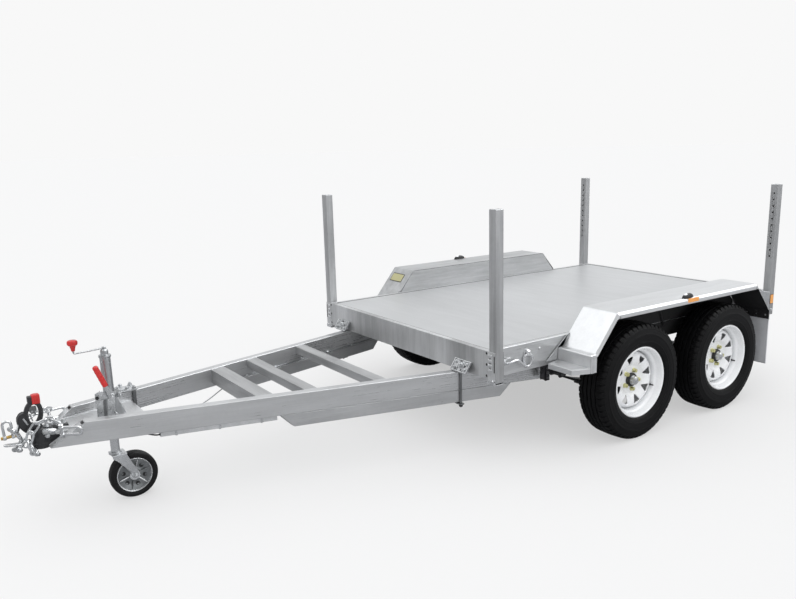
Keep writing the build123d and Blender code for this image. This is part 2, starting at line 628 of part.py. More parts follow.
def chain(points, pitch=33.0):
    """Links spaced evenly along a polyline."""
    ls, tot = [], 0.0
    for p, q in zip(points[:-1], points[1:]):
        ls.append((tot, Vector(*p), Vector(*q)))
        tot += (Vector(*q) - Vector(*p)).length
    n = int(tot / pitch)
    out = []
    for i in range(n):
        s = (i + 0.5) * tot / n
        for k, (t0, p, q) in enumerate(ls):
            L = (q - p).length
            if s <= t0 + L + 1e-6:
                c = p + (q - p) * ((s - t0) / L)
                d = (q - p).normalized()
                break
        out.append(link((c.X, c.Y, c.Z), (d.X, d.Y, d.Z), 45 + 90 * (i % 2)))
    return out


def shackle(c, pin, bow, w=34.0, h=60.0, t=6.0):
    """D shackle: pin centre c, pin direction, direction of the bow."""
    px_, bz = Vector(*pin).normalized(), Vector(*bow).normalized()
    pl = Plane(origin=Vector(*c), x_dir=px_, z_dir=px_.cross(bz))
    # in the plane: local x along the pin, local y to the bow
    l1 = Line((w / 2, 0), (w / 2, h - w / 2))
    a = ThreePointArc((w / 2, h - w / 2), (0, h), (-w / 2, h - w / 2))
    l2 = Line((-w / 2, h - w / 2), (-w / 2, 0))
    bow_ = sweep(Plane(origin=(w / 2, 0, 0), z_dir=(0, 1, 0)) * Circle(t), path=Wire([l1, a, l2]))
    pn = rod((-w / 2 - 16, 0, 0), (w / 2 + 14, 0, 0), t + 1)
    pn += rod((w / 2 - 9, 0, 0), (w / 2 + 9, 0, 0), t + 5)
    pn += rod((-w / 2 - 9, 0, 0), (-w / 2 + 9, 0, 0), t + 5)
    return pl * (bow_ + pn)


near_pts = [(118, -1862, 462), (88, -1898, 472), (66, -1928, 480), (64, -1964, 448), (60, -1994, 402), (48, -1994, 352), (36, -1980, 314)]
far_pts = [(-118, -1862, 462), (-88, -1898, 472), (-64, -1930, 480), (-58, -1972, 470), (-46, -2012, 446), (-30, -2036, 424)]
links = []
for pts_ in (near_pts, far_pts):
    links += [c.solid() for c in chain(pts_)]
# shackles that hold the chains to the rail ends, and the two loose ones
for s_ in (1, -1):
    links.append(shackle((s_ * 148, -1852, 436), (0, 0.5, 0.86), (0.22 * s_, 0.84, -0.49)).solid())
links.append(shackle((-2, -2062, 410), (0, 1, 0), (0, 0.05, 1), h=74.0).solid())
links.append(shackle((10, -2020, 352), (1, 0, 0.1), (0, -0.75, -0.66), h=52.0).solid())
node("safety_chains", Compound(links))

# ---------------------------------------------------------------------------
lo = min(s.bounding_box().min.Y for s in NODES.values())
hi = max(s.bounding_box().max.Y for s in NODES.values())
print("front %.2f rear %.2f middle %.2f" % (lo, hi, (lo + hi) / 2))
for name, shape in NODES.items():
    export_step(SH * shape, "parts/%s.step" % name)
print(len(NODES), "nodes")
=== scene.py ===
import bpy
import bmesh
import json
import math
from mathutils import Matrix, Vector, noise

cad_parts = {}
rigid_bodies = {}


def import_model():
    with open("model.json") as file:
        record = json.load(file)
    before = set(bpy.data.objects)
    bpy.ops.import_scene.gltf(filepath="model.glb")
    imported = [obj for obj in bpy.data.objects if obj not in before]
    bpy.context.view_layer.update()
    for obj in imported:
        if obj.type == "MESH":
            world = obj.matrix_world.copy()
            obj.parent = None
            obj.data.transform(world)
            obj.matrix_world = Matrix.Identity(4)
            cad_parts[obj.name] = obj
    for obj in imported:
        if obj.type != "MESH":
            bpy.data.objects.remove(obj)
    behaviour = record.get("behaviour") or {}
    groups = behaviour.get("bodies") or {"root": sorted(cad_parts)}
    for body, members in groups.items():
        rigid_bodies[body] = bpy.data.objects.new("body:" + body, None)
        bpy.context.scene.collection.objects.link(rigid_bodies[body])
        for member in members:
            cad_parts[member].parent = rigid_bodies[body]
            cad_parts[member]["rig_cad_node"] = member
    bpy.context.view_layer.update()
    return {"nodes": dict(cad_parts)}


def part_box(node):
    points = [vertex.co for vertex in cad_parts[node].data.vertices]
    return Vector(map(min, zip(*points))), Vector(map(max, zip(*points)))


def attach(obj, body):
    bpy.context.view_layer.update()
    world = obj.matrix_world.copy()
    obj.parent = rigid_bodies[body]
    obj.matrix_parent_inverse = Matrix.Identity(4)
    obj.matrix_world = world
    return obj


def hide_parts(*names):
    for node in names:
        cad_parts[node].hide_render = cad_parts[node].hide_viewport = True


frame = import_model()
NODES = frame["nodes"]

# ---------------------------------------------------------------------------
# places: millimetres measured back from the deck's front face, as the part is
# drawn, turned into metres in the row's frame
# ---------------------------------------------------------------------------
Y0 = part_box("front_panel")[0].y


def D(x, y, z):
    return Vector((x / 1000.0, Y0 + y / 1000.0, z / 1000.0))


def mm(*v):
    return [a / 1000.0 for a in v]


# ---------------------------------------------------------------------------
# node building
# ---------------------------------------------------------------------------
class Mat:
    """A principled material built node by node, on object coordinates."""

    def __init__(self, name, **sockets):
        self.m = bpy.data.materials.new(name)
        self.m.use_nodes = True
        self.nt = self.m.node_tree
        self.nt.nodes.clear()
        self.out = self.nt.nodes.new("ShaderNodeOutputMaterial")
        self.b = self.nt.nodes.new("ShaderNodeBsdfPrincipled")
        self.nt.links.new(self.b.outputs[0], self.out.inputs["Surface"])
        for k, v in sockets.items():
            self.set(k, v)
        self._co = None

    def set(self, key, value):
        names = {"base": "Base Color", "metal": "Metallic", "rough": "Roughness", "ior": "IOR",
                 "coat": "Coat Weight", "coat_rough": "Coat Roughness", "spec": "Specular IOR Level",
                 "normal": "Normal", "sheen": "Sheen Weight", "sheen_rough": "Sheen Roughness",
                 "trans": "Transmission Weight", "aniso": "Anisotropic", "sub": "Subsurface Weight"}
        s = self.b.inputs[names.get(key, key)]
        if isinstance(value, bpy.types.NodeSocket):
            self.nt.links.new(value, s)
        else:
            if hasattr(value, "__len__") and len(value) == 3 and s.type == "RGBA":
                value = (*value, 1.0)
            s.default_value = value
        return self

    def node(self, kind, **attrs):
        n = self.nt.nodes.new(kind)
        for k, v in attrs.items():
            setattr(n, k, v)
        return n

    def link(self, a, b):
        self.nt.links.new(a, b)

    def into(self, socket, value):
        if isinstance(value, bpy.types.NodeSocket):
            self.link(value, socket)
        else:
            socket.default_value = value

    def co(self):
        if self._co is None:
            self._co = self.node("ShaderNodeTexCoord").outputs["Object"]
        return self._co

    def mapped(self, scale=(1, 1, 1), rot=(0, 0, 0), loc=(0, 0, 0), source=None):
        n = self.node("ShaderNodeMapping")
        self.link(source or self.co(), n.inputs["Vector"])
        n.inputs["Scale"].default_value = scale
        n.inputs["Rotation"].default_value = rot
        n.inputs["Location"].default_value = loc
        return n.outputs[0]

    def noise(self, scale, detail=3.0, rough=0.55, vec=None, distort=0.0):
        n = self.node("ShaderNodeTexNoise")
        self.link(vec or self.co(), n.inputs["Vector"])
        n.inputs["Scale"].default_value = scale
        n.inputs["Detail"].default_value = detail
        n.inputs["Roughness"].default_value = rough
        n.inputs["Distortion"].default_value = distort
        return n.outputs["Fac"]

    def voronoi(self, scale, vec=None, feature="F1", out="Distance", random=1.0):
        n = self.node("ShaderNodeTexVoronoi", feature=feature)
        self.link(vec or self.co(), n.inputs["Vector"])
        n.inputs["Scale"].default_value = scale
        n.inputs["Randomness"].default_value = random
        return n.outputs[out]

    def math(self, op, a, b=0.0, c=0.0, clamp=False):
        n = self.node("ShaderNodeMath", operation=op, use_clamp=clamp)
        self.into(n.inputs[0], a)
        self.into(n.inputs[1], b)
        self.into(n.inputs[2], c)
        return n.outputs[0]

    def map(self, v, a, b, c=0.0, d=1.0, smooth=False):
        n = self.node("ShaderNodeMapRange", interpolation_type="SMOOTHSTEP" if smooth else "LINEAR")
        self.link(v, n.inputs["Value"])
        for k, x in zip(("From Min", "From Max", "To Min", "To Max"), (a, b, c, d)):
            self.into(n.inputs[k], x)
        return n.outputs["Result"]

    def mix(self, fac, a, b, blend="MIX"):
        n = self.node("ShaderNodeMix", data_type="RGBA", blend_type=blend)
        self.into(n.inputs[0], fac)
        for i, v in ((6, a), (7, b)):
            if not isinstance(v, bpy.types.NodeSocket) and len(v) == 3:
                v = (*v, 1.0)
            self.into(n.inputs[i], v)
        return n.outputs[2]

    def ramp(self, fac, stops):
        n = self.node("ShaderNodeValToRGB")
        self.link(fac, n.inputs[0])
        e = n.color_ramp.elements
        while len(e) < len(stops):
            e.new(0.5)
        for el, (p, c) in zip(e, stops):
            el.position = p
            el.color = (*c, 1.0) if len(c) == 3 else c
        return n.outputs[0]

    def xyz(self, vec=None):
        n = self.node("ShaderNodeSeparateXYZ")
        self.link(vec or self.co(), n.inputs[0])
        return n.outputs

    def bump(self, height, strength=0.3, distance=0.001, normal=None):
        n = self.node("ShaderNodeBump")
        n.inputs["Strength"].default_value = strength
        n.inputs["Distance"].default_value = distance
        self.link(height, n.inputs["Height"])
        if normal is not None:
            self.link(normal, n.inputs["Normal"])
        return n.outputs[0]


def grey(v, warm=0.0):
    return (v * (1 + warm), v, v * (1 - warm) * 1.03)


# hot-dip galvanised steel: bright satin zinc with long faint streaks along the
# piece, fine rolling lines, soft cloudy patches and a very faint spangle
def galvanised(name, tone=0.60, rot=0.0, run=(1, 9, 9), rough=0.34, metal=0.70, spangle=0.4, wavy=1.0, blot=0.10, warm=-0.012, painted_reflection_bands=0.0, band=3.4, shift=0.0):
    k = Mat(name, metal=metal)
    turned = k.mapped(rot=(0, 0, rot), loc=(shift, shift, shift))
    long = k.mapped(scale=run, source=turned)
    finer = k.mapped(scale=tuple(7.0 * r if r > 1 else 1.6 for r in run), source=turned)
    cells = k.voronoi(70, vec=turned, out="Color")
    cell = k.node("ShaderNodeSeparateColor")
    k.link(cells, cell.inputs[0])
    cell = cell.outputs[0]
    cloud = k.noise(1.9, 3.0, 0.55, vec=turned)
    runs = k.noise(2.6, 3.0, 0.6, vec=long)
    lines = k.noise(3.1, 3.0, 0.65, vec=finer)
    v = k.math("MULTIPLY_ADD", cell, 0.04 * spangle, tone - 0.02 * spangle)
    v = k.math("ADD", v, k.map(cloud, 0.32, 0.68, -blot * 0.45, blot * 0.45))
    v = k.math("ADD", v, k.map(runs, 0.32, 0.68, -blot * 0.6, blot * 0.6))
    v = k.math("ADD", v, k.map(lines, 0.3, 0.7, -blot * 0.4, blot * 0.4))
    # painted reflection: broad soft light and dark bands along the piece, laid into the base colour
    if painted_reflection_bands:
        painted_reflection_noise = k.noise(band, 1.0, 0.4, vec=k.mapped(scale=tuple(1.0 if r > 1 else 0.05 for r in run), source=turned))
        v = k.math("ADD", v, k.map(painted_reflection_noise, 0.36, 0.64, -painted_reflection_bands, painted_reflection_bands, smooth=True))
    c = k.node("ShaderNodeCombineColor")
    k.link(k.math("MULTIPLY", v, 1 + warm), c.inputs[0])
    k.link(v, c.inputs[1])
    k.link(k.math("MULTIPLY", v, 1 - warm), c.inputs[2])
    k.set("base", c.outputs[0])
    r = k.math("MULTIPLY_ADD", cell, 0.03 * spangle, rough - 0.015)
    r = k.math("ADD", r, k.map(cloud, 0.3, 0.7, -0.03, 0.04))
    r = k.math("ADD", r, k.map(lines, 0.3, 0.7, -0.04, 0.04))
    k.set("rough", r)
    if wavy:
        k.set("normal", k.bump(cloud, 0.4 * wavy, 0.004))
    return k.m


M = {}
M["galv"] = galvanised("galvanised_plain")
M["bars"] = galvanised("galvanised_bars", tone=0.40, run=(1, 9, 9))
M["rail_l"] = galvanised("galvanised_rail_left", tone=0.54, run=(1, 1, 9), rough=0.30, wavy=0.0, blot=0.05)
M["rail_r"] = galvanised("galvanised_rail_right", tone=0.54, run=(1, 1, 9), rough=0.30, wavy=0.0, blot=0.05, shift=3.0)
M["rail_low"] = galvanised("galvanised_lower_rails", tone=0.50, run=(1, 1, 9), rough=0.34, wavy=0.0, blot=0.06, shift=7.0)
M["side"] = galvanised("galvanised_side", tone=0.60, run=(9, 1, 9), rough=0.33)
# front panel: its base colour carries broad bands of painted reflection
M["panel"] = galvanised("galvanised_panel", tone=0.50, run=(9, 9, 1), rough=0.36, painted_reflection_bands=0.10)
M["post"] = galvanised("galvanised_post", tone=0.46, run=(9, 9, 1), wavy=0.5)
# rear posts: the post galvanising in a darker tone, painted shade
M["post_painted_shade"] = galvanised("galvanised_post_painted_shade", tone=0.42, run=(9, 9, 1), wavy=0.7, shift=5.0)
M["guard"] = galvanised("galvanised_guard", tone=0.64, run=(9, 1, 9), rough=0.35, blot=0.045, wavy=0.25)
# far mudguard: the same galvanised sheet as the near one, given a darker tone as painted shade
M["guard_painted_shade"] = galvanised("galvanised_guard_painted_shade", tone=0.46, run=(9, 1, 9), rough=0.42, shift=2.0)
M["deck"] = galvanised("deck_sheet", tone=0.55, run=(1, 7, 7), rough=0.42, metal=0.70, blot=0.03, spangle=0.2, wavy=0.6)


def plain(name, colour, rough=0.5, metal=0.0, var=0.12, scale=30, bump=0.15, dist=0.0006, **kw):
    """Paint, plastic or rubber with a fine grain and soft patches."""
    k = Mat(name, metal=metal, **kw)
    big = k.noise(scale * 0.25, 3.0, 0.55)
    fine = k.noise(scale * 6, 3.0, 0.6)
    lo = tuple(c * (1 - var) for c in colour)
    hi = tuple(min(1.0, c * (1 + var)) for c in colour)
    k.set("base", k.mix(k.map(big, 0.3, 0.7), lo, hi))
    k.set("rough", k.map(fine, 0.3, 0.7, max(0.02, rough - 0.06), min(1.0, rough + 0.06)))
    k.set("normal", k.bump(fine, bump, dist))
    return k.m


M["tyre"] = plain("tyre_rubber", (0.0028, 0.0028, 0.0032), 0.55, bump=0.2, spec=0.17)
M["rim"] = plain("white_rim_paint", (0.80, 0.81, 0.82), 0.28, var=0.03, bump=0.05)
M["black"] = plain("black_paint", (0.018, 0.018, 0.02), 0.38, coat=0.2)
M["zinc"] = plain("zinc_plate", (0.62, 0.63, 0.64), 0.30, metal=0.95)
M["tube"] = plain("zinc_tube", (0.50, 0.51, 0.52), 0.34, metal=0.95)
M["red"] = plain("red_plastic", (0.52, 0.018, 0.016), 0.35, coat=0.3)
M["jrubber"] = plain("jockey_rubber", (0.008, 0.008, 0.0085), 0.55, spec=0.25)
M["flap"] = plain("grey_flap", (0.50, 0.51, 0.53), 0.55)
M["amber"] = plain("amber_lens", (0.80, 0.36, 0.09), 0.25, coat=0.4)
M["redlens"] = plain("red_lens", (0.45, 0.012, 0.01), 0.2, coat=0.5)
M["blank"] = plain("blank_plate", (0.75, 0.75, 0.72), 0.35)
M["hubblack"] = plain("hub_black", (0.014, 0.014, 0.015), 0.42)
M["yellow_zinc"] = plain("yellow_zinc", (0.62, 0.60, 0.30), 0.30, metal=0.7)
M["jdisc"] = plain("jockey_disc_zinc", (0.24, 0.25, 0.255), 0.32, metal=0.85, scale=60, var=0.30)
M["brass"] = plain("brass_pin", (0.62, 0.40, 0.12), 0.28, metal=0.95)
M["chain"] = plain("bright_chain_zinc", (0.72, 0.73, 0.74), 0.22, metal=0.98, bump=0.1)
M["cable"] = plain("steel_cable", (0.30, 0.31, 0.32), 0.45, metal=0.8)
M["dark_underside"] = plain("dark_underside", (0.012, 0.012, 0.013), 0.75, scale=60, bump=0.7, dist=0.0012)
M["weld"] = plain("weld_bead", (0.55, 0.56, 0.57), 0.38, metal=0.85, scale=120, bump=0.5)
M["spring_zinc"] = plain("dull_zinc", (0.16, 0.16, 0.165), 0.42, metal=0.8)
M["cast_zinc"] = plain("cast_zinc", (0.56, 0.57, 0.58), 0.40, metal=0.85, scale=50, var=0.18, bump=0.35)
M["dark_zinc"] = plain("dark_zinc", (0.20, 0.205, 0.21), 0.40, metal=0.85)
M["bright_zinc"] = plain("bright_zinc", (0.78, 0.79, 0.80), 0.26, metal=0.9)
M["lamp_painted_highlight"] = plain("lamp_painted_highlight", (0.80, 0.81, 0.82), 0.12, coat=0.5)
M["crease_shade_line"] = plain("crease_painted_shade", (0.10, 0.10, 0.105), 0.6)
M["yellow_blank"] = plain("yellow_label", (0.40, 0.38, 0.20), 0.45, var=0.06)

FINISH = {
    "deck_plate": "deck", "front_panel": "panel", "rear_rail": "panel",
    "side_rail_left": "side", "side_rail_right": "side", "deck_bearers": "galv",
    "post_front_left": "post", "post_front_right": "post", "post_rear_left": "post_painted_shade", "post_rear_right": "post_painted_shade",
    "drawbar_rail_left": "rail_l", "drawbar_rail_right": "rail_r", "drawbar_lower_rails": "rail_low",
    "drawbar_crossbars": "bars", "nose_plate": "galv", "coupling_body": "black", "coupling_lever": "black",
    "jockey_tube": "tube", "jockey_clamp": "tube", "jockey_crank": "red", "jockey_leg": "zinc",
    "jockey_fork": "zinc", "jockey_wheel": "jrubber", "handbrake_quadrant": "zinc", "handbrake_lever": "red",
    "axle_front": "galv", "axle_rear": "galv", "springs_left": "black", "springs_right": "black",
    "mudguard_left": "guard", "mudguard_right": "guard", "mudflaps": "flap", "panel_clamps": "zinc",
    "lashing_points": "zinc", "marker_lamps": "amber", "tail_lamps": "redlens", "number_plate": "blank",
    "wiring_conduit": "galv", "brake_cable": "cable", "safety_chains": "zinc",
}
for n in NODES:
    if n.startswith("tyre_"):
        FINISH[n] = "tyre"
    if n.startswith("rim_"):
        FINISH[n] = "rim"


def paint(obj, *keys):
    if "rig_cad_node" in obj:
        obj.data.materials.clear()
    for key in keys:
        obj.data.materials.append(M[key] if isinstance(key, str) else key)


for n, o in NODES.items():
    paint(o, FINISH[n])


def soften(name, width, segments=2, angle=35):
    """Rolled or folded edges on a CAD node."""
    o = NODES[name]
    w = o.modifiers.new("weld", "WELD")
    w.merge_threshold = 0.00002
    b = o.modifiers.new("edge", "BEVEL")
    b.width = width / 1000.0
    b.segments = segments
    b.limit_method = "ANGLE"
    b.angle_limit = math.radians(angle)
    b.harden_normals = True
    b.use_clamp_overlap = True
    return o


for n, w, k in (("drawbar_rail_left", 6.5, 4), ("drawbar_rail_right", 6.5, 4), ("drawbar_lower_rails", 5.0, 3),
                ("drawbar_crossbars", 4.0, 3), ("nose_plate", 2.5, 2), ("axle_front", 3.0, 2), ("axle_rear", 3.0, 2),
                ("deck_bearers", 2.5, 2), ("side_rail_left", 3.0, 3), ("side_rail_right", 3.0, 3), ("front_panel", 1.8, 3), ("rear_rail", 1.8, 3),
                ("post_front_left", 2.6, 3), ("post_front_right", 2.6, 3), ("post_rear_left", 1.6, 2), ("post_rear_right", 1.6, 2)):
    soften(n, w, k)


# ---------------------------------------------------------------------------
# mesh building, all in millimetres on the drawing's axes
# ---------------------------------------------------------------------------
X, Y, Z = Vector((1, 0, 0)), Vector((0, 1, 0)), Vector((0, 0, 1))


def basis(axis, ref=None):
    """Rotation whose local Z lies along axis, local X near ref."""
    z = Vector(axis).normalized()
    ref = Vector(ref) if ref is not None else (Z if abs(z.z) < 0.9 else X)
    x = (ref - z * ref.dot(z)).normalized()
    return Matrix((x, z.cross(x), z)).transposed()


class Build:
    """Collects solids in one mesh; each has a material number."""

    def __init__(self):
        self.bm = bmesh.new()

    def take(self, t, mat=0, m=None):
        if m is not None:
            bmesh.ops.transform(t, matrix=m, verts=t.verts)
        bmesh.ops.recalc_face_normals(t, faces=t.faces)
        for f in t.faces:
            f.material_index = mat
        me = bpy.data.meshes.new("t")
        t.to_mesh(me)
        t.free()
        self.bm.from_mesh(me)
        bpy.data.meshes.remove(me)
        return self

    def lathe(self, profile, origin, axis, segs=32, mat=0, ref=None, closed=False, ends=True):
        """Profile of (radius, height) turned round an axis."""
        t = bmesh.new()
        m = basis(axis, ref)
        o = Vector(origin)
        rows = []
        for r, h in profile:
            if r < 1e-6:
                rows.append([t.verts.new(o + m @ Vector((0, 0, h)))])
            else:
                rows.append([t.verts.new(o + m @ Vector((r * math.cos(a * 2 * math.pi / segs), r * math.sin(a * 2 * math.pi / segs), h)))
                             for a in range(segs)])
        pairs = list(zip(rows[:-1], rows[1:]))
        if closed:
            pairs.append((rows[-1], rows[0]))
        for a, b in pairs:
            for i in range(segs):
                j = (i + 1) % segs
                if len(a) == 1 and len(b) == 1:
                    break
                if len(a) == 1:
                    t.faces.new((a[0], b[i], b[j]))
                elif len(b) == 1:
                    t.faces.new((a[i], b[0], a[j]))
                else:
                    t.faces.new((a[i], b[i], b[j], a[j]))
        if ends and not closed:
            for row in (rows[0], rows[-1]):
                if len(row) > 2:
                    t.faces.new(row)
        return self.take(t, mat)

    def sweep(self, pts, r, segs=10, mat=0, closed=False, squash=1.0, ref=None, radii=None):
        """Round bar along a line of points."""
        t = bmesh.new()
        pts = [Vector(p) for p in pts]
        n = len(pts)
        tang = []
        for i in range(n):
            a = pts[(i - 1) % n] if (closed or i > 0) else pts[i]
            b = pts[(i + 1) % n] if (closed or i < n - 1) else pts[i]
            tang.append((b - a).normalized())
        x = basis(tang[0], ref).col[0].copy()
        rows = []
        for i in range(n):
            z = tang[i]
            x = (x - z * x.dot(z)).normalized()
            y = z.cross(x)
            rr = radii[i] if radii else r
            rows.append([t.verts.new(pts[i] + x * (rr * math.cos(a * 2 * math.pi / segs)) + y * (rr * squash * math.sin(a * 2 * math.pi / segs)))
                         for a in range(segs)])
        if closed:
            best = min(range(segs), key=lambda k: (rows[0][k].co - rows[-1][0].co).length)
            rows.append(rows[0][best:] + rows[0][:best])
        for a, b in zip(rows[:-1], rows[1:]):
            for i in range(segs):
                j = (i + 1) % segs
                t.faces.new((a[i], b[i], b[j], a[j]))
        if not closed:
            t.faces.new(rows[0])
            t.faces.new(rows[-1])
        return self.take(t, mat)

    def box(self, x0, x1, y0, y1, z0, z1, r=1.0, mat=0, m=None, segs=2):
        """Block with rounded edges."""
        t = bmesh.new()
        bmesh.ops.create_cube(t, size=1.0)
        for v in t.verts:
            v.co = Vector(((x0 + x1) / 2 + v.co.x * (x1 - x0), (y0 + y1) / 2 + v.co.y * (y1 - y0), (z0 + z1) / 2 + v.co.z * (z1 - z0)))
        r = min(r, 0.45 * min(abs(x1 - x0), abs(y1 - y0), abs(z1 - z0)))
        if r > 0:
            bmesh.ops.bevel(t, geom=list(t.edges), offset=r, segments=segs, affect="EDGES", profile=0.5, clamp_overlap=True)
        return self.take(t, mat, m)

    def plate(self, outline, origin, axis, ref, thick, r=0.6, mat=0, holes=(), corner=0.0):
        """Flat plate: outline in its own plane (ref is its first axis), pushed along axis."""
        t = bmesh.new()
        if corner:
            outline = rounded(outline, corner)
        m = basis(axis, ref)
        o = Vector(origin)
        lo = [t.verts.new(o + m @ Vector((a, b, 0))) for a, b in outline]
        if holes:
            loops = [lo]
            for (hx, hy, hr) in holes:
                loops.append([t.verts.new(o + m @ Vector((hx + hr * math.cos(k * math.pi / 8), hy + hr * math.sin(k * math.pi / 8), 0))) for k in range(16)])
            edges = []
            for lp in loops:
                for a, b in zip(lp, lp[1:] + lp[:1]):
                    edges.append(t.edges.new((a, b)))
            bmesh.ops.triangle_fill(t, edges=edges, use_beauty=True)
        else:
            t.faces.new(lo)
        faces = list(t.faces)
        ext = bmesh.ops.extrude_face_region(t, geom=faces)
        vs = [g for g in ext["geom"] if isinstance(g, bmesh.types.BMVert)]
        bmesh.ops.translate(t, verts=vs, vec=m.col[2] * thick)
        bmesh.ops.recalc_face_normals(t, faces=t.faces)
        if r > 0 and not holes:
            es = [e for e in t.edges if len(e.link_faces) == 2 and e.calc_face_angle(0) > math.radians(50)
                  and abs(((e.verts[1].co - e.verts[0].co).normalized()).dot(m.col[2])) < 0.5]
            if es:
                bmesh.ops.bevel(t, geom=es, offset=r, segments=2, affect="EDGES", profile=0.5, clamp_overlap=True)
        return self.take(t, mat)

    def hexa(self, origin, axis, flats, high, mat=0, turn=0.0, stud=0.0, stud_r=None, washer=None, mat_stud=None, round_top=False):
        """Hexagon nut or head with its chamfer, washer and stud end."""
        c = flats / 2 / math.cos(math.pi / 6)
        ax = Vector(axis).normalized()
        o = Vector(origin)
        if washer:
            self.lathe([(0, 0), (washer * 0.97, 0), (washer, 0.4), (washer, 1.8), (washer * 0.95, 2.2), (0, 2.2)], o, ax, 24, mat, ends=False)
            o = o + ax * 2.0
        t = bmesh.new()
        m = basis(ax)
        rows = []
        for k, (h, full) in enumerate(((0, 0.93), (0.06 * high, 1.0), (0.84 * high, 1.0), (high, 0.86))):
            row = []
            for a in range(24):
                ang = a * 2 * math.pi / 24 + turn
                rel = (a * 15) % 60
                hexr = flats / 2 / math.cos(math.radians(rel - 30))
                rr = min(hexr, c * full) if full < 1 else hexr
                row.append(t.verts.new(o + m @ Vector((rr * math.cos(ang), rr * math.sin(ang), h))))
            rows.append(row)
        for a, b in zip(rows[:-1], rows[1:]):
            for i in range(24):
                j = (i + 1) % 24
                t.faces.new((a[i], b[i], b[j], a[j]))
        t.faces.new(rows[0])
        t.faces.new(rows[-1])
        self.take(t, mat)
        if stud:
            r = stud_r or flats * 0.29
            self.lathe([(r, high * 0.5), (r, high + stud - 1.2), (r * 0.8, high + stud), (0, high + stud)], o, ax, 16, mat if mat_stud is None else mat_stud, ends=False)
        return self

    def done(self, name, mats, body, slot=None, angle=34, replaces=(), weld=0.01):
        if weld:
            bmesh.ops.remove_doubles(self.bm, verts=self.bm.verts, dist=weld)
        for v in self.bm.verts:
            v.co = D(*v.co)
        me = bpy.data.meshes.new(name)
        self.bm.to_mesh(me)
        self.bm.free()
        me.polygons.foreach_set("use_smooth", [True] * len(me.polygons))
        me.set_sharp_from_angle(angle=math.radians(angle))
        ob = bpy.data.objects.new(name, me)
        bpy.context.scene.collection.objects.link(ob)
        wn = ob.modifiers.new("flat_faces", "WEIGHTED_NORMAL")
        wn.mode = "FACE_AREA"
        wn.weight = 50
        wn.keep_sharp = True
        paint(ob, *mats)
        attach(ob, body)
        if replaces:
            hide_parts(*replaces)
        return ob


def rounded(poly, r, segs=3):
    """Corners of a flat outline rounded off."""
    out = []
    n = len(poly)
    for i in range(n):
        p = Vector(poly[i]).to_2d()
        a = (Vector(poly[i - 1]).to_2d() - p)
        b = (Vector(poly[(i + 1) % n]).to_2d() - p)
        ang = a.angle(b)
        if ang > math.radians(172):
            out.append(tuple(p))
            continue
        d = min(r / math.tan(ang / 2), a.length * 0.45, b.length * 0.45)
        p0, p1 = p + a.normalized() * d, p + b.normalized() * d
        for k in range(segs + 1):
            s = k / segs
            q = p0 * (1 - s) ** 2 + p * 2 * s * (1 - s) + p1 * s ** 2
            out.append(tuple(q))
    return out


def arc_pts(c, r, a0, a1, n, axis_u, axis_v):
    c, u, v = Vector(c), Vector(axis_u), Vector(axis_v)
    return [c + u * (r * math.cos(math.radians(a0 + (a1 - a0) * k / n))) + v * (r * math.sin(math.radians(a0 + (a1 - a0) * k / n))) for k in range(n + 1)]


def smooth_line(pts, per=6, closed=False):
    """Catmull-Rom line through points."""
    pts = [Vector(p) for p in pts]
    n = len(pts)
    out = []
    last = n if closed else n - 1
    for i in range(last):
        p0 = pts[(i - 1) % n] if (closed or i > 0) else pts[i] * 2 - pts[i + 1]
        p1, p2 = pts[i], pts[(i + 1) % n]
        p3 = pts[(i + 2) % n] if (closed or i < n - 2) else p2 * 2 - p1
        for k in range(per):
            t = k / per
            out.append(0.5 * ((2 * p1) + (p2 - p0) * t + (2 * p0 - 5 * p1 + 4 * p2 - p3) * t * t + (3 * p1 - p0 - 3 * p2 + p3) * t ** 3))
    if not closed:
        out.append(pts[-1])
    return out


def add_mesh(name, verts, faces, mats, body, angle=34, replaces=(), indices=None):
    me = bpy.data.meshes.new(name)
    me.from_pydata([D(*v) for v in verts], [], faces)
    if indices:
        me.polygons.foreach_set("material_index", indices)
    me.polygons.foreach_set("use_smooth", [True] * len(me.polygons))
    me.update()
    bm = bmesh.new()
    bm.from_mesh(me)
    bmesh.ops.recalc_face_normals(bm, faces=bm.faces)
    bm.to_mesh(me)
    bm.free()
    me.set_sharp_from_angle(angle=math.radians(angle))
    ob = bpy.data.objects.new(name, me)
    bpy.context.scene.collection.objects.link(ob)
    paint(ob, *mats)
    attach(ob, body)
    if replaces:
        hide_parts(*replaces)
    return ob


# ---------------------------------------------------------------------------
# road wheels
# ---------------------------------------------------------------------------
AXLE_Z, WC = 325.0, 940.0
AXLES = {"front": 898.0, "rear": 1678.0}


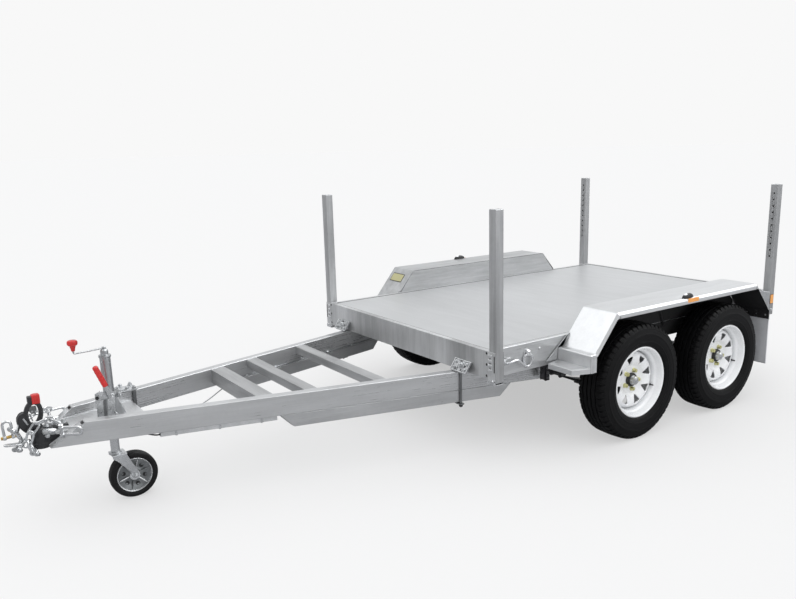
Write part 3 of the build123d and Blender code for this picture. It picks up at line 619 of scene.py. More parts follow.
def tyre(name, x, y, s, body, node):
    """Ribbed tread with shoulder grooves, side walls with moulded rings."""
    half = [(186.2, 59, 0), (189.0, 65.8, 0), (191.6, 71.0, 0), (197.0, 75.4, 0), (200, 80, 0), (206, 84.5, 0), (213, 87.6, 0), (221, 89.8, 0), (225, 90.6, 0),
            (227, 92.2, 0), (230, 92.4, 0), (232, 91.4, 0), (243, 93.0, 0), (256, 93.6, 0), (266, 93.2, 0), (268, 94.0, 0), (270, 93.9, 0), (272, 92.6, 0),
            (281, 91.3, 0), (289, 89.4, 0), (295, 87.6, 0), (297, 88.0, 0), (299, 87.6, 0), (300.5, 85.8, 1), (306, 83.6, 2), (312, 80.8, 3),
            (317.0, 77.2, 4), (320.4, 73.6, 4), (321.6, 70.6, 4), (322.6, 62, 4), (323.2, 54, 5), (323.4, 48, 6), (322.6, 46.6, 7), (315.2, 45, 8), (315.0, 40.5, 8),
            (322.9, 38.8, 7), (323.8, 37.6, 6), (324.4, 28, 9), (324.7, 18.6, 6), (323.9, 17.2, 7), (315.6, 15.8, 8), (315.6, 11.4, 8), (324.2, 9.8, 7),
            (325.0, 8.6, 6), (325.0, 0.0, 9)]
    prof = [(r, a, t) for r, a, t in half] + [(r, -a, t) for r, a, t in half[-2::-1]]
    N = 54
    frac = (0.0, 0.64, 0.70, 0.94)
    verts, faces = [], []
    rows = []
    for p in range(N):
        for q, fr in enumerate(frac):
            ang = 2 * math.pi * (p + fr) / N
            groove = q >= 2
            row = []
            for r, a, t in prof:
                rr, aa = r, a
                sg = 1 if a >= 0 else -1
                if groove and t in (1, 2, 3, 4):
                    deep = {1: 0.8, 2: 3.0, 3: 5.0, 4: 6.5}[t]
                    if t == 4:
                        rr -= deep
                        if r < 321:
                            aa -= sg * 2.0
                    else:
                        aa -= sg * deep * 0.8
                        rr -= deep * 0.3
                if groove and t == 5:
                    rr -= 2.2
                if t in (6, 7) and abs(a) > 1:
                    aa += (1.1 if (p % 2 == 0) else -1.1) * (1 if q in (0, 1) else -1) * 0.8
                w = ang
                row.append(len(verts))
                verts.append((x + s * aa, y + rr * math.cos(w), AXLE_Z + rr * math.sin(w)))
            rows.append(row)
    for a, b in zip(rows, rows[1:] + rows[:1]):
        for i in range(len(prof) - 1):
            faces.append((a[i], b[i], b[i + 1], a[i + 1]))
        faces.append((a[-1], b[-1], b[0], a[0]))
    return add_mesh(name, verts, faces, ["tyre"], body, angle=26, replaces=(node,))


def disc_height(r):
    pts = [(30, 7), (70, 7), (77, 8.4), (86, 15), (97, 24), (112, 30), (130, 33), (142, 31), (151, 25), (157, 16), (161.6, 6), (163.6, -4)]
    if r <= pts[0][0]:
        return pts[0][1]
    for (r0, h0), (r1, h1) in zip(pts[:-1], pts[1:]):
        if r <= r1:
            f = (r - r0) / (r1 - r0)
            return h0 + (h1 - h0) * f
    return pts[-1][1]


def vent_outline():
    tri = [(84.5, 0.0), (138.0, 28.0), (138.0, -28.0)]
    return rounded(tri, 8.5, segs=7)


def cast(c, d, poly):
    """Where a ray from c along d leaves a closed outline."""
    best = None
    for (x0, y0), (x1, y1) in zip(poly, poly[1:] + poly[:1]):
        ex, ey = x1 - x0, y1 - y0
        den = d[0] * ey - d[1] * ex
        if abs(den) < 1e-12:
            continue
        t = ((x0 - c[0]) * ey - (y0 - c[1]) * ex) / den
        u = ((x0 - c[0]) * d[1] - (y0 - c[1]) * d[0]) / den
        if t > 0 and -1e-9 <= u <= 1 + 1e-9 and (best is None or t > best):
            best = t
    return best


def rim(name, x, y, s, turn, body, node):
    """White steel wheel: rolled barrel and dished disc with eight vents."""
    b = Build()
    inner = [(196.0, 80.2), (193.0, 81.4), (190.0, 80.6), (187.4, 77.6), (185.6, 73), (184.2, 66.4), (182.4, 61.2), (180.4, 58), (179.2, 51), (178.0, 46.0),
             (174.5, 41.8), (170.0, 38.5), (167.4, 33), (166.6, 22), (165.0, -8), (163.6, -22), (164.5, -31), (170.5, -37), (174.6, -41), (175.2, -58), (178.4, -63.2),
             (182.2, -65.4), (184.4, -69), (186.6, -75.6), (190, -79.6), (193, -80.8), (196, -80.2)]
    outer = [(198.4, -77.8), (197.6, -75.2), (193.6, -74.6), (190.2, -71.5), (188, -66), (185, -61.4), (179.8, -58.6), (178.6, -43), (172, -37.5), (168, -30.5),
             (167, -22), (169, 22), (171, 35.5), (178.5, 42.4), (181.6, 50), (182.8, 57.6), (185, 61.4), (188, 66), (190.2, 71.5), (193.6, 74.6), (197.6, 75.2), (198.4, 77.8)]
    b.lathe(inner + outer, (x, y, AXLE_Z), (s, 0, 0), 96, 0, closed=True)
    # middle of the disc, pressed ring and bore
    mid = [(34, 7.4), (38, 8.6), (60, 8.6), (68, 8.6), (72.5, 9.4), (76.5, 11.2), (78.5, 10.4), (79.5, 9.2), (79.5, 5.5), (34, 3.5)]
    b.lathe(mid, (x, y, AXLE_Z), (s, 0, 0), 64, 0, closed=True)
    # vented part of the disc, one eighth at a time
    t = bmesh.new()
    hole = vent_outline()
    c = (116.0, 0.0)
    r0, r1, hw = 77.0, 163.4, math.pi / 8
    sector = [(r0 * math.cos(-hw + k * hw / 8), r0 * math.sin(-hw + k * hw / 8)) for k in range(17)]
    sector += [(r1 * math.cos(hw - k * hw / 10), r1 * math.sin(hw - k * hw / 10)) for k in range(21)]
    n = 44
    dirs = [2 * math.pi * (k + 0.5) / n for k in range(n)]
    for cx, cy in ((r0 * math.cos(hw), r0 * math.sin(hw)), (r1 * math.cos(hw), r1 * math.sin(hw))):
        a = math.atan2(cy - c[1], cx - c[0]) % (2 * math.pi)
        dirs += [a, 2 * math.pi - a]
    dirs.sort()
    steps = (0.0, 0.05, 0.12, 0.24, 0.42, 0.62, 0.82, 1.0)
    m = basis((s, 0, 0), (0, 0, 1))
    centre = Vector((x, y, AXLE_Z))
    for k in range(8):
        th = turn + k * math.pi / 4
        ct, st = math.cos(th), math.sin(th)
        grids = []
        for thick in (0.0, -3.6):
            g = []
            for sp in steps:
                row = []
                for a in dirs:
                    d = (math.cos(a), math.sin(a))
                    h = cast(c, d, hole)
                    o = cast(c, d, sector)
                    q = h + (o - h) * sp
                    u, v = c[0] + d[0] * q, c[1] + d[1] * q
                    r = math.hypot(u, v)
                    lip = max(0.0, 1 - sp / 0.12)
                    hgt = disc_height(r) - 3.2 * lip * lip + thick
                    uu, vv = u * ct - v * st, u * st + v * ct
                    row.append(t.verts.new(centre + m @ Vector((uu, vv, hgt))))
                g.append(row)
            grids.append(g)
        for g in grids:
            for ra, rb in zip(g[:-1], g[1:]):
                for i in range(len(dirs)):
                    j = (i + 1) % len(dirs)
                    t.faces.new((ra[i], rb[i], rb[j], ra[j]))
        for i in range(len(dirs)):
            j = (i + 1) % len(dirs)
            t.faces.new((grids[0][0][i], grids[0][0][j], grids[1][0][j], grids[1][0][i]))
    bmesh.ops.remove_doubles(t, verts=t.verts, dist=0.02)
    b.take(t, 0)
    # brake drum behind the disc
    b.lathe([(40, -22), (104, -22), (108, -24), (109, -30), (109, -58), (112, -60), (112, -66), (104, -66), (104, -30), (40, -30)], (x, y, AXLE_Z), (s, 0, 0), 48, 1, closed=True)
    # hub with its bearing cap
    b.lathe([(20, -60), (37, -56), (37.5, -20), (38.5, 4), (38.5, 19), (36.5, 23), (31, 25.5), (25, 26.5), (20, 26.5)], (x, y, AXLE_Z), (s, 0, 0), 40, 1, ends=False)
    b.lathe([(26.2, 26), (26.2, 28.5), (23.6, 29.2), (23.4, 42), (22.4, 46), (19.5, 48.6), (13, 49.6), (12, 50.6), (0, 51.0)], (x, y, AXLE_Z), (s, 0, 0), 40, 2, ends=False)
    # wheel nuts on cone seats
    for k in range(5):
        a = math.radians(-8 + 72 * k)
        cy, cz = y + 54 * math.cos(a), AXLE_Z + 54 * math.sin(a)
        b.lathe([(13.5, 0), (13.0, 1.8), (10.5, 3.6), (0, 3.6)], (x + s * 8.4, cy, cz), (s, 0, 0), 20, 3, ends=False)
        b.hexa((x + s * 11.0, cy, cz), (s, 0, 0), 20.5, 16.5, 3, turn=0.3 * k, stud=3.0, stud_r=5.6)
    # valve
    va = math.radians(-20)
    dy, dz = math.cos(va), math.sin(va)
    p = lambda r, a: (x + s * a, y + r * dy, AXLE_Z + r * dz)
    b.sweep([p(161, 22), p(158, 29), p(155.5, 35), p(153, 43)], 4.2, 12, 4, radii=[6.2, 5.6, 4.2, 3.8])
    b.sweep([p(153, 42), p(151.2, 50), p(150.6, 53)], 3.6, 10, 4, radii=[4.4, 4.4, 3.2])
    return b.done(name, ["rim", "hubblack", "zinc", "yellow_zinc", "black"], body, "rim_white", angle=30, replaces=(node,))


for e, ay in AXLES.items():
    for d, s in (("left", 1), ("right", -1)):
        body = "wheel_%s_%s" % (e, d)
        tyre("tyre_tread_%s_%s" % (e, d), s * WC, ay, s, body, "tyre_%s_%s" % (e, d))
        rim("wheel_disc_%s_%s" % (e, d), s * WC, ay, s, math.radians({"front": 15.0, "rear": 26.0}[e]), body, "rim_%s_%s" % (e, d))

# ---------------------------------------------------------------------------
# jockey stand
# ---------------------------------------------------------------------------
JY = -1620.0
JR, TRAIL = 112.0, 70.0
FY = JY + TRAIL
CY = JY - 131.0

b = Build()
b.lathe([(23.9, 352), (23.9, 700), (25.4, 701), (27.0, 703), (27.4, 706), (27.4, 711), (26.0, 713.4), (18.6, 714)], (0, JY, 0), Z, 48, 0, ends=False)
b.lathe([(21.1, 352), (23.9, 352)], (0, JY, 0), Z, 48, 0, ends=False)
b.lathe([(21.1, 352), (21.1, 430)], (0, JY, 0), Z, 48, 0, ends=False)
b.lathe([(18.8, 713.5), (18.8, 716), (17.4, 717), (17.2, 731), (16.0, 736), (12.5, 739.5), (9.4, 740.4), (9.2, 746), (7.0, 748), (0, 748.4)], (0, JY, 0), Z, 40, 0, ends=False)
# weld seam of the tube, grease nipple
b.sweep([(-17.2, JY + 17.2, 420), (-17.2, JY + 17.2, 700)], 0.9, 8, 0)
b.lathe([(3.4, 0), (3.4, 5), (1.9, 6), (2.6, 8.5), (1.2, 10), (0, 10)], (16.5, JY - 17.0, 684), (0.7, -0.7, 0.2), 14, 0, ends=False)
b.done("jockey_outer_tube", ["tube"], "chassis", "zinc", replaces=("jockey_tube",))

b = Build()
# foot collar welded on the nose plate
b.lathe([(24.2, 420), (34.5, 420), (34.5, 430), (32.5, 432.5), (28.0, 434), (24.2, 434)], (0, JY, 0), Z, 40, 0, closed=True)
# split collar with its ears, bolt and nut
t = bmesh.new()
ring = []
for k in range(45):
    a = math.radians(90 + 9 + k * 342 / 44)
    ring.append([t.verts.new((rr * math.cos(a), JY + rr * math.sin(a), z)) for rr, z in ((24.3, 500), (30.6, 500), (32.0, 502.5), (32.0, 531.5), (30.6, 534), (24.3, 534))])
for p, q in zip(ring[:-1], ring[1:]):
    for i in range(6):
        t.faces.new((p[i], p[(i + 1) % 6], q[(i + 1) % 6], q[i]))
t.faces.new(ring[0])
t.faces.new(ring[-1])
b.take(t, 0)
for s in (-1, 1):
    b.box(s * 4.2, s * 9.2, JY + 27, JY + 53, 501, 533, 1.6)
b.sweep([(-25, JY + 43, 517), (22, JY + 43, 517)], 4.8, 14, 1)
b.hexa((9.2, JY + 43, 517), X, 17, 11, 1, washer=10.5, stud=6)
b.hexa((-9.2, JY + 43, 517), -X, 17, 8, 1, washer=10.5)
# bright swivel nut on the side of the collar and its boss
b.lathe([(12, 0), (12, 4), (10.5, 5.5), (0, 5.5)], (27.5, JY - 2, 520), (1, -0.1, 0), 24, 1, ends=False)
b.hexa((32, JY - 2.6, 520), (1, -0.1, 0), 15, 8, 1, stud=3)
# gusset behind, pressed ribs up the sides of the tube
b.plate([(22, 84), (32, 84), (68, 1), (68, 0), (22, 0)], (-4, JY, 420), X, Y, 8, 1.2)
for s in (-1, 1):
    b.plate([(0, 0), (9, 0), (9, 34), (3, 78), (0, 78)], (s * 24.4, JY + 3, 433.5), (0, 1, 0), (s, 0, 0), -6 if s > 0 else 6, 1.2)
b.box(-30, 30, JY + 30, JY + 64, 420, 427, 2.5)
b.done("jockey_bracket", ["tube", "zinc"], "chassis", "zinc", replaces=("jockey_clamp",))

b = Build()
arm = [(0, JY + 9, 745), (0, JY - 6, 745.5), (0, JY - 30, 744), (0, JY - 60, 742), (0, JY - 92, 741), (0, CY + 10, 740), (0, CY + 3, 741.5), (0, CY, 747), (0, CY, 762)]
b.sweep(smooth_line(arm, 4), 4.0, 14, 1)
b.lathe([(9.5, 0), (9.5, 1.5), (8.8, 2.4), (0, 2.4)], (0, JY, 749), Z, 24, 1, ends=False)
b.lathe([(0, 752), (6.6, 752), (8.0, 753.5), (10.6, 766), (12.2, 771), (13.0, 776), (19.0, 779.5), (21.6, 783), (22.2, 791), (21.4, 797), (19.5, 800.6), (15, 802.6), (8, 803.6), (0, 803.9)],
        (0, CY, 0), Z, 40, 0, ends=False)
for k in range(12):
    a = k * math.pi / 6
    b.sweep([(21.6 * math.cos(a), CY + 21.6 * math.sin(a), 784.5), (21.9 * math.cos(a), CY + 21.9 * math.sin(a), 796)], 1.25, 8, 0)
b.done("jockey_handle", ["red", "zinc"], "chassis", "red_grip", replaces=("jockey_crank",))

b = Build()
b.lathe([(0, 232), (18.5, 232), (20.2, 234), (20.35, 240), (20.35, 556), (19.0, 559), (0, 559)], (0, JY, 0), Z, 40, 0, ends=False)
b.lathe([(20.4, 234), (26.5, 234.4), (27.2, 236), (27.2, 241), (26, 243), (20.4, 244)], (0, JY, 0), Z, 32, 0, closed=True)
b.done("jockey_inner_leg", ["zinc"], "jockey_inner", "zinc", replaces=("jockey_leg",))

b = Build()
FZ = 2 * JR + 3
cheek = [(JY - 25, FZ + 5), (JY + 40, FZ + 5), (JY + 43, FZ - 6), (FY + 14, JR + 20), (FY + 14.5, JR + 2), (FY + 11, JR - 10), (FY, JR - 15), (FY - 11, JR - 10), (FY - 15, JR + 4), (FY - 22, JR + 26), (JY + 4, FZ - 30), (JY - 23, FZ - 9)]
for x0 in (34.6, -38.4):
    b.plate(rounded(cheek, 5), (x0, 0, 0), X, Y, 3.8, 0.9)
for s in (-1, 1):
    # turned edge along the front of each cheek
    b.sweep([(s * 37.8, JY - 22.5, FZ - 6), (s * 37.8, JY + 3, FZ - 28), (s * 37.8, FY - 22, JR + 27), (s * 37.8, FY - 14.5, JR + 6)], 2.6, 10, 0)
b.box(-38.4, 38.4, JY - 26, JY + 43, FZ + 3, FZ + 7.6, 2.2)
b.lathe([(0, 0), (24, 0), (24, 1.2), (21, 3.2), (0, 3.2)], (0, JY, FZ + 7.4), Z, 32, 0, ends=False)
b.sweep([(-42, FY, JR), (42, FY, JR)], 7.8, 18, 0)
for s in (-1, 1):
    b.hexa((s * 38.4, FY, JR), (s, 0, 0), 19, 7, 0, washer=13, stud=1.5)
b.done("jockey_fork_frame", ["zinc"], "jockey_castor", "zinc", replaces=("jockey_fork",))

b = Build()
tread = [(82, -20.5), (85, -24.5), (90, -27.2), (97, -28.8), (104, -28.6), (108.5, -25.6), (110.8, -20.5), (111.7, -12), (112, -9), (110.6, -8), (110.6, -6.4), (112, -5.4), (112, 0)]
prof = tread + [(r, -a) for r, a in tread[-2::-1]]
b.lathe(prof + [(80, 20), (80, -20)], (0, FY, JR), X, 72, 0, closed=True)
disc = [(82.6, -21.5), (83.4, -24.2), (81.6, -25.4), (79.2, -24.0), (76.4, -20.0), (72.0, -18.4), (60, -16.2), (52, -12.6), (40, -11.6), (30, -14.0), (24.5, -19.5), (24.0, -28.0), (22.5, -29.5), (13.0, -29.8), (12.4, -33.0), (8.1, -33.2)]
b.lathe(disc + [(r, -a) for r, a in disc[::-1]], (0, FY, JR), X, 64, 1, closed=True)
for s in (-1, 1):
    b.lathe([(83.2, 22.4), (83.4, 25.4), (81.6, 26.6), (78.8, 25.2), (76.6, 21.2), (76.2, 19.4)], (0, FY, JR), (s, 0, 0), 64, 2, ends=False)
    b.lathe([(24.6, 19.8), (24.4, 28.2), (22.8, 30.2), (13.2, 30.4), (12.4, 33.4), (8.2, 33.4)], (0, FY, JR), (s, 0, 0), 40, 2, ends=False)
    # pressed spokes, every other one in bright zinc as a painted highlight, and black dishes as painted shade for the
    # round holes between them
    for k in range(6):
        a = math.radians(60 * k + 15)
        ca, sa = math.cos(a), math.sin(a)
        b.sweep([(s * 16.6, FY + 25 * ca, JR + 25 * sa), (s * 16.8, FY + 40 * ca, JR + 40 * sa), (s * 18.6, FY + 56 * ca, JR + 56 * sa), (s * 20.0, FY + 74 * ca, JR + 74 * sa)], 3.4, 10, 2 if k % 2 else 1, squash=0.7, radii=[2.4, 4.2, 4.4, 2.4])
        a += math.radians(30)
        ca, sa = math.cos(a), math.sin(a)
        b.lathe([(10.0, 0), (9.6, 2.0), (8.2, 2.4), (7.0, 0.6), (6.6, -1.0), (0, -1.2)], (s * 13.8, FY + 51 * ca, JR + 51 * sa), (s, 0, 0), 20, 3, ends=False)
b.done("jockey_roller_wheel", ["jrubber", "jdisc", "bright_zinc", "hubblack"], "jockey_roller", "jockey_rubber", replaces=("jockey_wheel",))

# ---------------------------------------------------------------------------
# hand brake
# ---------------------------------------------------------------------------
HX, HY, HZ = 65.0, -1625.0, 530.0
b = Build()
# upright channel: light web, a thin dark strip beside it as painted shade for the slot, folded ends
b.plate([(-1690, 420), (-1662, 420), (-1660, 508), (-1654, 520), (-1690, 520)], (42, 0, 0), X, Y, 5, 1.0, corner=5)
b.plate([(-1646, 420.2), (-1612, 420.2), (-1606, 516), (-1640, 520)], (43, 0, 0), X, Y, 4, 1.0, corner=4)
b.box(41.0, 42, -1661, -1646, 422, 518, 0.4, 4)
# gusset leaning back to the rail
b.plate([(-1611, 420.2), (-1572, 420.2), (-1592, 508), (-1604, 518)], (40, 0, 0), X, Y, 4, 1.0, 1, corner=4)
# lying bracket with two bosses
b.plate([(-1692, 520), (-1606, 514), (-1604, 536), (-1613, 547), (-1642, 556), (-1676, 556), (-1692, 550)], (42, 0, 0), X, Y, 5, 1.2, corner=6)
b.box(38, 47, -1692, -1606, 516, 521.5, 1.8)
b.box(16, 42.5, -1692, -1660, 420, 426, 2.0)
b.hexa((28, -1676, 426), Z, 15, 8, 0, washer=10, stud=4)
b.hexa((28, -1640, 420), Z, 13, 7, 0, washer=9, stud=3)
b.box(33, 42, -1616, -1604, 516, 532, 2.0)
for k in range(9):
    a = math.radians(100 + 5.5 * k)
    y, z = HY + 33 * math.cos(a), HZ + 33 * math.sin(a)
    b.box(y - 1.2, y + 1.2, z - 2.2, z + 2.2, 46.8, 49.5, 0.4, m=Matrix(((0, 0, 1, 0), (1, 0, 0, 0), (0, 1, 0, 0), (0, 0, 0, 1))))
b.sweep([(42, HY, HZ), (77, HY, HZ)], 5.9, 18, 3)
b.hexa((73, HY, HZ), X, 15, 6, 3, stud=2.5)
b.lathe([(0, 0), (12.5, 0), (12.5, 3.4), (11.0, 5.6), (0, 6.4)], (46.6, -1668, 549), X, 26, 3, ends=False)
b.lathe([(8.2, 0), (8.2, 3.0), (7.0, 4.4), (0, 4.4)], (47, -1684, 530), X, 24, 2, ends=False)
b.done("handbrake_bracket", ["zinc", "tube", "hubblack", "bright_zinc", "dark_zinc"], "chassis", "zinc", replaces=("handbrake_quadrant",))

b = Build()
G = Vector((0, -0.3584, 0.9336))
W = Vector((0, 0.9336, 0.3584))
O = Vector((HX, HY, HZ))
b.lathe([(6.3, -12), (14.0, -12), (15.0, -11), (15.0, 5), (14, 6), (6.3, 6)], O, X, 36, 1, closed=True)
# flat pressed arm that narrows up into the grip
t = bmesh.new()
rows = []
for d, w0, w1, h in ((6, 12.5, 12.5, 3.4), (22, 12.0, 12.0, 3.8), (38, 10.0, 10.0, 4.4), (52, 7.5, 7.5, 5.0), (66, 6.0, 6.0, 5.6)):
    rows.append([t.verts.new(O + G * d + W * u + X * q) for u, q in ((-w0, -h + 1), (-w0 + 1.5, -h), (w1 - 1.5, -h), (w1, -h + 1), (w1, h - 1), (w1 - 1.5, h), (-w0 + 1.5, h), (-w0, h - 1))])
for p, q in zip(rows[:-1], rows[1:]):
    for i in range(8):
        j = (i + 1) % 8
        t.faces.new((p[i], p[j], q[j], q[i]))
t.faces.new(rows[0])
t.faces.new(rows[-1])
b.take(t, 1)
grip = [(6.2, 57), (9.6, 57), (12.2, 58.5), (13.0, 62), (12.6, 66)]
for k in range(4):
    d0 = 72 + 19 * k
    grip += [(12.9, d0), (13.3, d0 + 6), (12.9, d0 + 12), (12.0, d0 + 16)]
grip += [(12.9, 150), (12.9, 155), (11.6, 160), (8.4, 163.2), (4.2, 164.3), (0, 164.5)]
b.lathe(grip, O, G, 36, 0, ends=False)
b.done("handbrake_grip", ["red", "zinc"], "handbrake", "red_grip", replaces=("handbrake_lever",))

# ---------------------------------------------------------------------------
# coupling head with its ring lever
# ---------------------------------------------------------------------------
BY = -1925.0
b = Build()
b.lathe([(25.4, 344), (37.0, 344), (40.4, 346), (41.8, 351), (42.0, 358), (42.0, 396), (41.0, 408), (38.0, 420), (32.0, 430), (23.0, 437), (12, 440), (0, 440.6)], (0, BY, 0), Z, 56, 0, ends=False)
b.lathe([(25.4, 344), (25.4, 376), (22.5, 392), (14, 403), (0, 407)], (0, BY, 0), Z, 40, 0, ends=False)
# neck: lofted tail that flattens to the mounting plate
t = bmesh.new()
rows = []
for y, w, z0, z1 in ((BY + 4, 33, 349, 432), (BY + 28, 40, 349, 431), (BY + 50, 42, 352, 424), (BY + 68, 41, 356, 414), (BY + 80, 38, 360, 409.5), (-1836, 34, 364, 409.5)):
    rad = 15
    row = []
    for cx, cz, a0 in ((w - rad, z1 - rad, 0), (-w + rad, z1 - rad, 90), (-w + rad, z0 + rad, 180), (w - rad, z0 + rad, 270)):
        for k in range(7):
            a = math.radians(a0 + 15 * k)
            row.append(t.verts.new((cx + rad * math.cos(a), y, cz + rad * math.sin(a))))
    rows.append(row)
for p, q in zip(rows[:-1], rows[1:]):
    for i in range(28):
        j = (i + 1) % 28
        t.faces.new((p[i], p[j], q[j], q[i]))
t.faces.new(rows[0])
t.faces.new(rows[-1])
b.take(t, 0)
# tongue on the nose plate with two bolts
b.box(-30, 30, BY + 22, -1812, 420.4, 434, 4.5, 0)
for y in (-1862, -1830):
    b.hexa((0, y, 434), Z, 22, 12, 1, washer=15, stud=5)
# polished wear casting on the near shoulder, with its adjusting bolts
t = bmesh.new()
bmesh.ops.create_uvsphere(t, u_segments=32, v_segments=18, radius=1.0)
bmesh.ops.transform(t, matrix=Matrix.Translation((27, -1884, 412)) @ Matrix.Rotation(math.radians(-14), 4, "X") @ Matrix.Diagonal((18, 36, 17, 1)), verts=t.verts)
b.take(t, 1)
b.lathe([(0, 0), (14, 0), (14.5, 2), (13.5, 6), (11.0, 8.5), (5, 9.6), (0, 9.8)], (36, -1912, 420), (0.85, -0.25, 0.46), 28, 1, ends=False)
b.hexa((43, -1906, 402), (0.95, -0.2, 0.1), 15, 8, 1, washer=10, stud=3)
b.hexa((14, -1902, 438), (0.2, 0, 1), 19, 10, 1, washer=12, stud=5)
b.lathe([(42.0, 0), (43.0, 1), (43.0, 6), (42.0, 7)], (0, BY, 362), Z, 48, 0, closed=True)
b.sweep([(44.5, -1900, 372), (44.5, -1872, 376), (43, -1846, 384)], 2.6, 10, 0)
b.done("coupling_head", ["black", "zinc"], "chassis", "coupling_black", replaces=("coupling_body",))

b = Build()
# upright handle: long black loop, thicker towards its foot
t = bmesh.new()
rows = []
n = 60
for k in range(n):
    a = 2 * math.pi * k / n
    ca, sa = math.cos(a), math.sin(a)
    cy, cz = -1945.0 + 5.0 * sa, 501.0
    cen = Vector((0, cy + 30.5 * ca, cz + 52.0 * sa))
    out = Vector((0, 52.0 * ca, 30.5 * sa)).normalized()
    half = 9.6 + 1.6 * max(0.0, -sa)
    row = []
    for i in range(20):
        w = 2 * math.pi * i / 20
        cw, sw = math.cos(w), math.sin(w)
        row.append(t.verts.new(cen + out * (half * math.copysign(abs(cw) ** 0.62, cw)) + X * (12.0 * math.copysign(abs(sw) ** 0.62, sw))))
    rows.append(row)
for p, q in zip(rows, rows[1:] + rows[:1]):
    for i in range(20):
        j = (i + 1) % 20
        t.faces.new((p[i], p[j], q[j], q[i]))
b.take(t, 0)
b.box(-12, 12, -1962, -1916, 432, 462, 7, 0, segs=4)
# grey latch hanging in the loop
b.plate(rounded([(-1961, 536), (-1931, 536), (-1929, 520), (-1938, 506), (-1950, 500), (-1962, 516)], 5), (-5, 0, 0), X, Y, 10, 1.6, 2)
b.sweep([(-8, -1950, 514), (8, -1950, 514)], 4.0, 14, 3)
b.sweep([(2, -1957, 505), (3, -1956, 488), (2, -1951, 470)], 3.4, 12, 3, radii=[4.0, 3.4, 2.8])
# catch: black housing in front, red latch behind it
b.box(-13.5, 13.5, -1963, -1942, 551, 584, 6, 0, segs=4)
b.box(-14.8, 14.8, -1946, -1912, 546, 588.6, 4.5, 1, segs=4)
for k in range(4):
    b.box(14.4, 16.2, -1942 + 7 * k, -1938 + 7 * k, 553, 582, 0.9, 1)
b.box(-12.5, 12.5, -1938, -1919, 588, 589.4, 0.7, 1)
# solid cam plate in front; its slanting slot is drawn as a raised zinc strip on each face, a painted highlight
cam = [(-1984, 517), (-2001, 509), (-2011, 494), (-2013, 474), (-2006, 452), (-1993, 434), (-1976, 416), (-1964, 414), (-1958, 436), (-1964, 470), (-1972, 500)]
cam = rounded(cam, 12, 4)
b.plate([(y, z) for y, z in cam], (-13.5, 0, 0), X, Y, 27, 3.0, 0)
for x0 in (13.6, -13.6):
    b.sweep([(x0, -1989, 492), (x0, -1984, 480), (x0, -1974, 460)], 3.4, 12, 3, squash=0.35, ref=Y)
edge = [Vector((13.4, y, z)) for y, z in cam]
b.sweep([v for v in edge], 1.6, 8, 0, closed=True)
b.sweep([Vector((-13.4, v.y, v.z)) for v in edge], 1.6, 8, 0, closed=True)
b.done("coupling_ring_lever", ["black", "red", "dark_zinc", "zinc"], "chassis", "coupling_black", replaces=("coupling_lever",))

# ---------------------------------------------------------------------------
# safety chains and shackles
# ---------------------------------------------------------------------------


def link_pts(c, d, roll, L=54.0, W=35.0, t=5.0):
    r, h = W / 2 - t / 2, L / 2 - W / 2
    z = Vector(d).normalized()
    ref = Z if abs(z.z) < 0.9 else X
    u = z.cross(ref).normalized()
    v = z.cross(u)
    a = math.radians(roll)
    x = u * math.cos(a) + v * math.sin(a)
    pts = []
    for k in range(11):
        w = math.radians(-90 + 180 * k / 10) + math.pi / 2
        pts.append(Vector(c) + x * (r * math.cos(w)) + z * (h + r * math.sin(w)))
    for k in range(11):
        w = math.radians(90 + 180 * k / 10) + math.pi / 2
        pts.append(Vector(c) + x * (r * math.cos(w)) + z * (-h + r * math.sin(w)))
    return pts, x.cross(z)


def chain(b, points, pitch=33.0):
    ls, tot = [], 0.0
    for p, q in zip(points[:-1], points[1:]):
        ls.append((tot, Vector(p), Vector(q)))
        tot += (Vector(q) - Vector(p)).length
    n = int(tot / pitch)
    for i in range(n):
        s = (i + 0.5) * tot / n
        for t0, p, q in ls:
            L = (q - p).length
            if s <= t0 + L + 1e-6:
                c, d = p + (q - p) * ((s - t0) / L), q - p
                break
        pts, nrm = link_pts(c, d, 45 + 90 * (i % 2))
        b.sweep(pts, 5.0, 12, 0, closed=True, ref=nrm)


def shackle(b, c, pin, bow, w=34.0, h=60.0, t=6.0, pin_mat=1, bow_mat=0):
    c, px, bz = Vector(c), Vector(pin).normalized(), Vector(bow).normalized()
    bz = (bz - px * bz.dot(px)).normalized()
    pts = [c + px * (w / 2) - bz * 2, c + px * (w / 2) + bz * 8, c + px * (w / 2) + bz * (h - w / 2)]
    for k in range(1, 12):
        a = math.pi * k / 12
        pts.append(c + bz * (h - w / 2 + w / 2 * math.sin(a)) + px * (w / 2 * math.cos(a)))
    pts += [c - px * (w / 2) + bz * (h - w / 2), c - px * (w / 2) + bz * 8, c - px * (w / 2) - bz * 2]
    b.sweep(pts, t, 14, bow_mat, ref=px.cross(bz))
    for s in (-1, 1):
        b.lathe([(0, -7), (8.5, -7), (10.8, -5), (11.2, 0), (10.8, 5), (8.5, 7), (0, 7)], c + px * (s * w / 2), px, 24, bow_mat, ends=False)
    b.lathe([(0, -w / 2 - 9), (t + 0.5, -w / 2 - 9), (t + 1, -w / 2 - 8), (t + 1, w / 2 + 8), (t + 2.6, w / 2 + 8), (t + 3.4, w / 2 + 10), (t + 3.0, w / 2 + 16), (t, w / 2 + 18), (0, w / 2 + 18)], c, px, 24, pin_mat, ends=False)
    b.lathe([(0, -w / 2 - 15), (t - 1, -w / 2 - 15), (t + 1.6, -w / 2 - 13), (t + 1.6, -w / 2 - 8), (0, -w / 2 - 8)], c, px, 6, pin_mat, ends=False)


def one_link(b, p, q, roll, W=30.0, t=5.0, mat=0):
    """Single link whose outer ends lie at p and q."""
    p, q = Vector(p), Vector(q)
    pts, nrm = link_pts((p + q) / 2, q - p, roll, L=(q - p).length, W=W, t=t)
    b.sweep(pts, t, 14, mat, closed=True, ref=nrm)


b = Build()
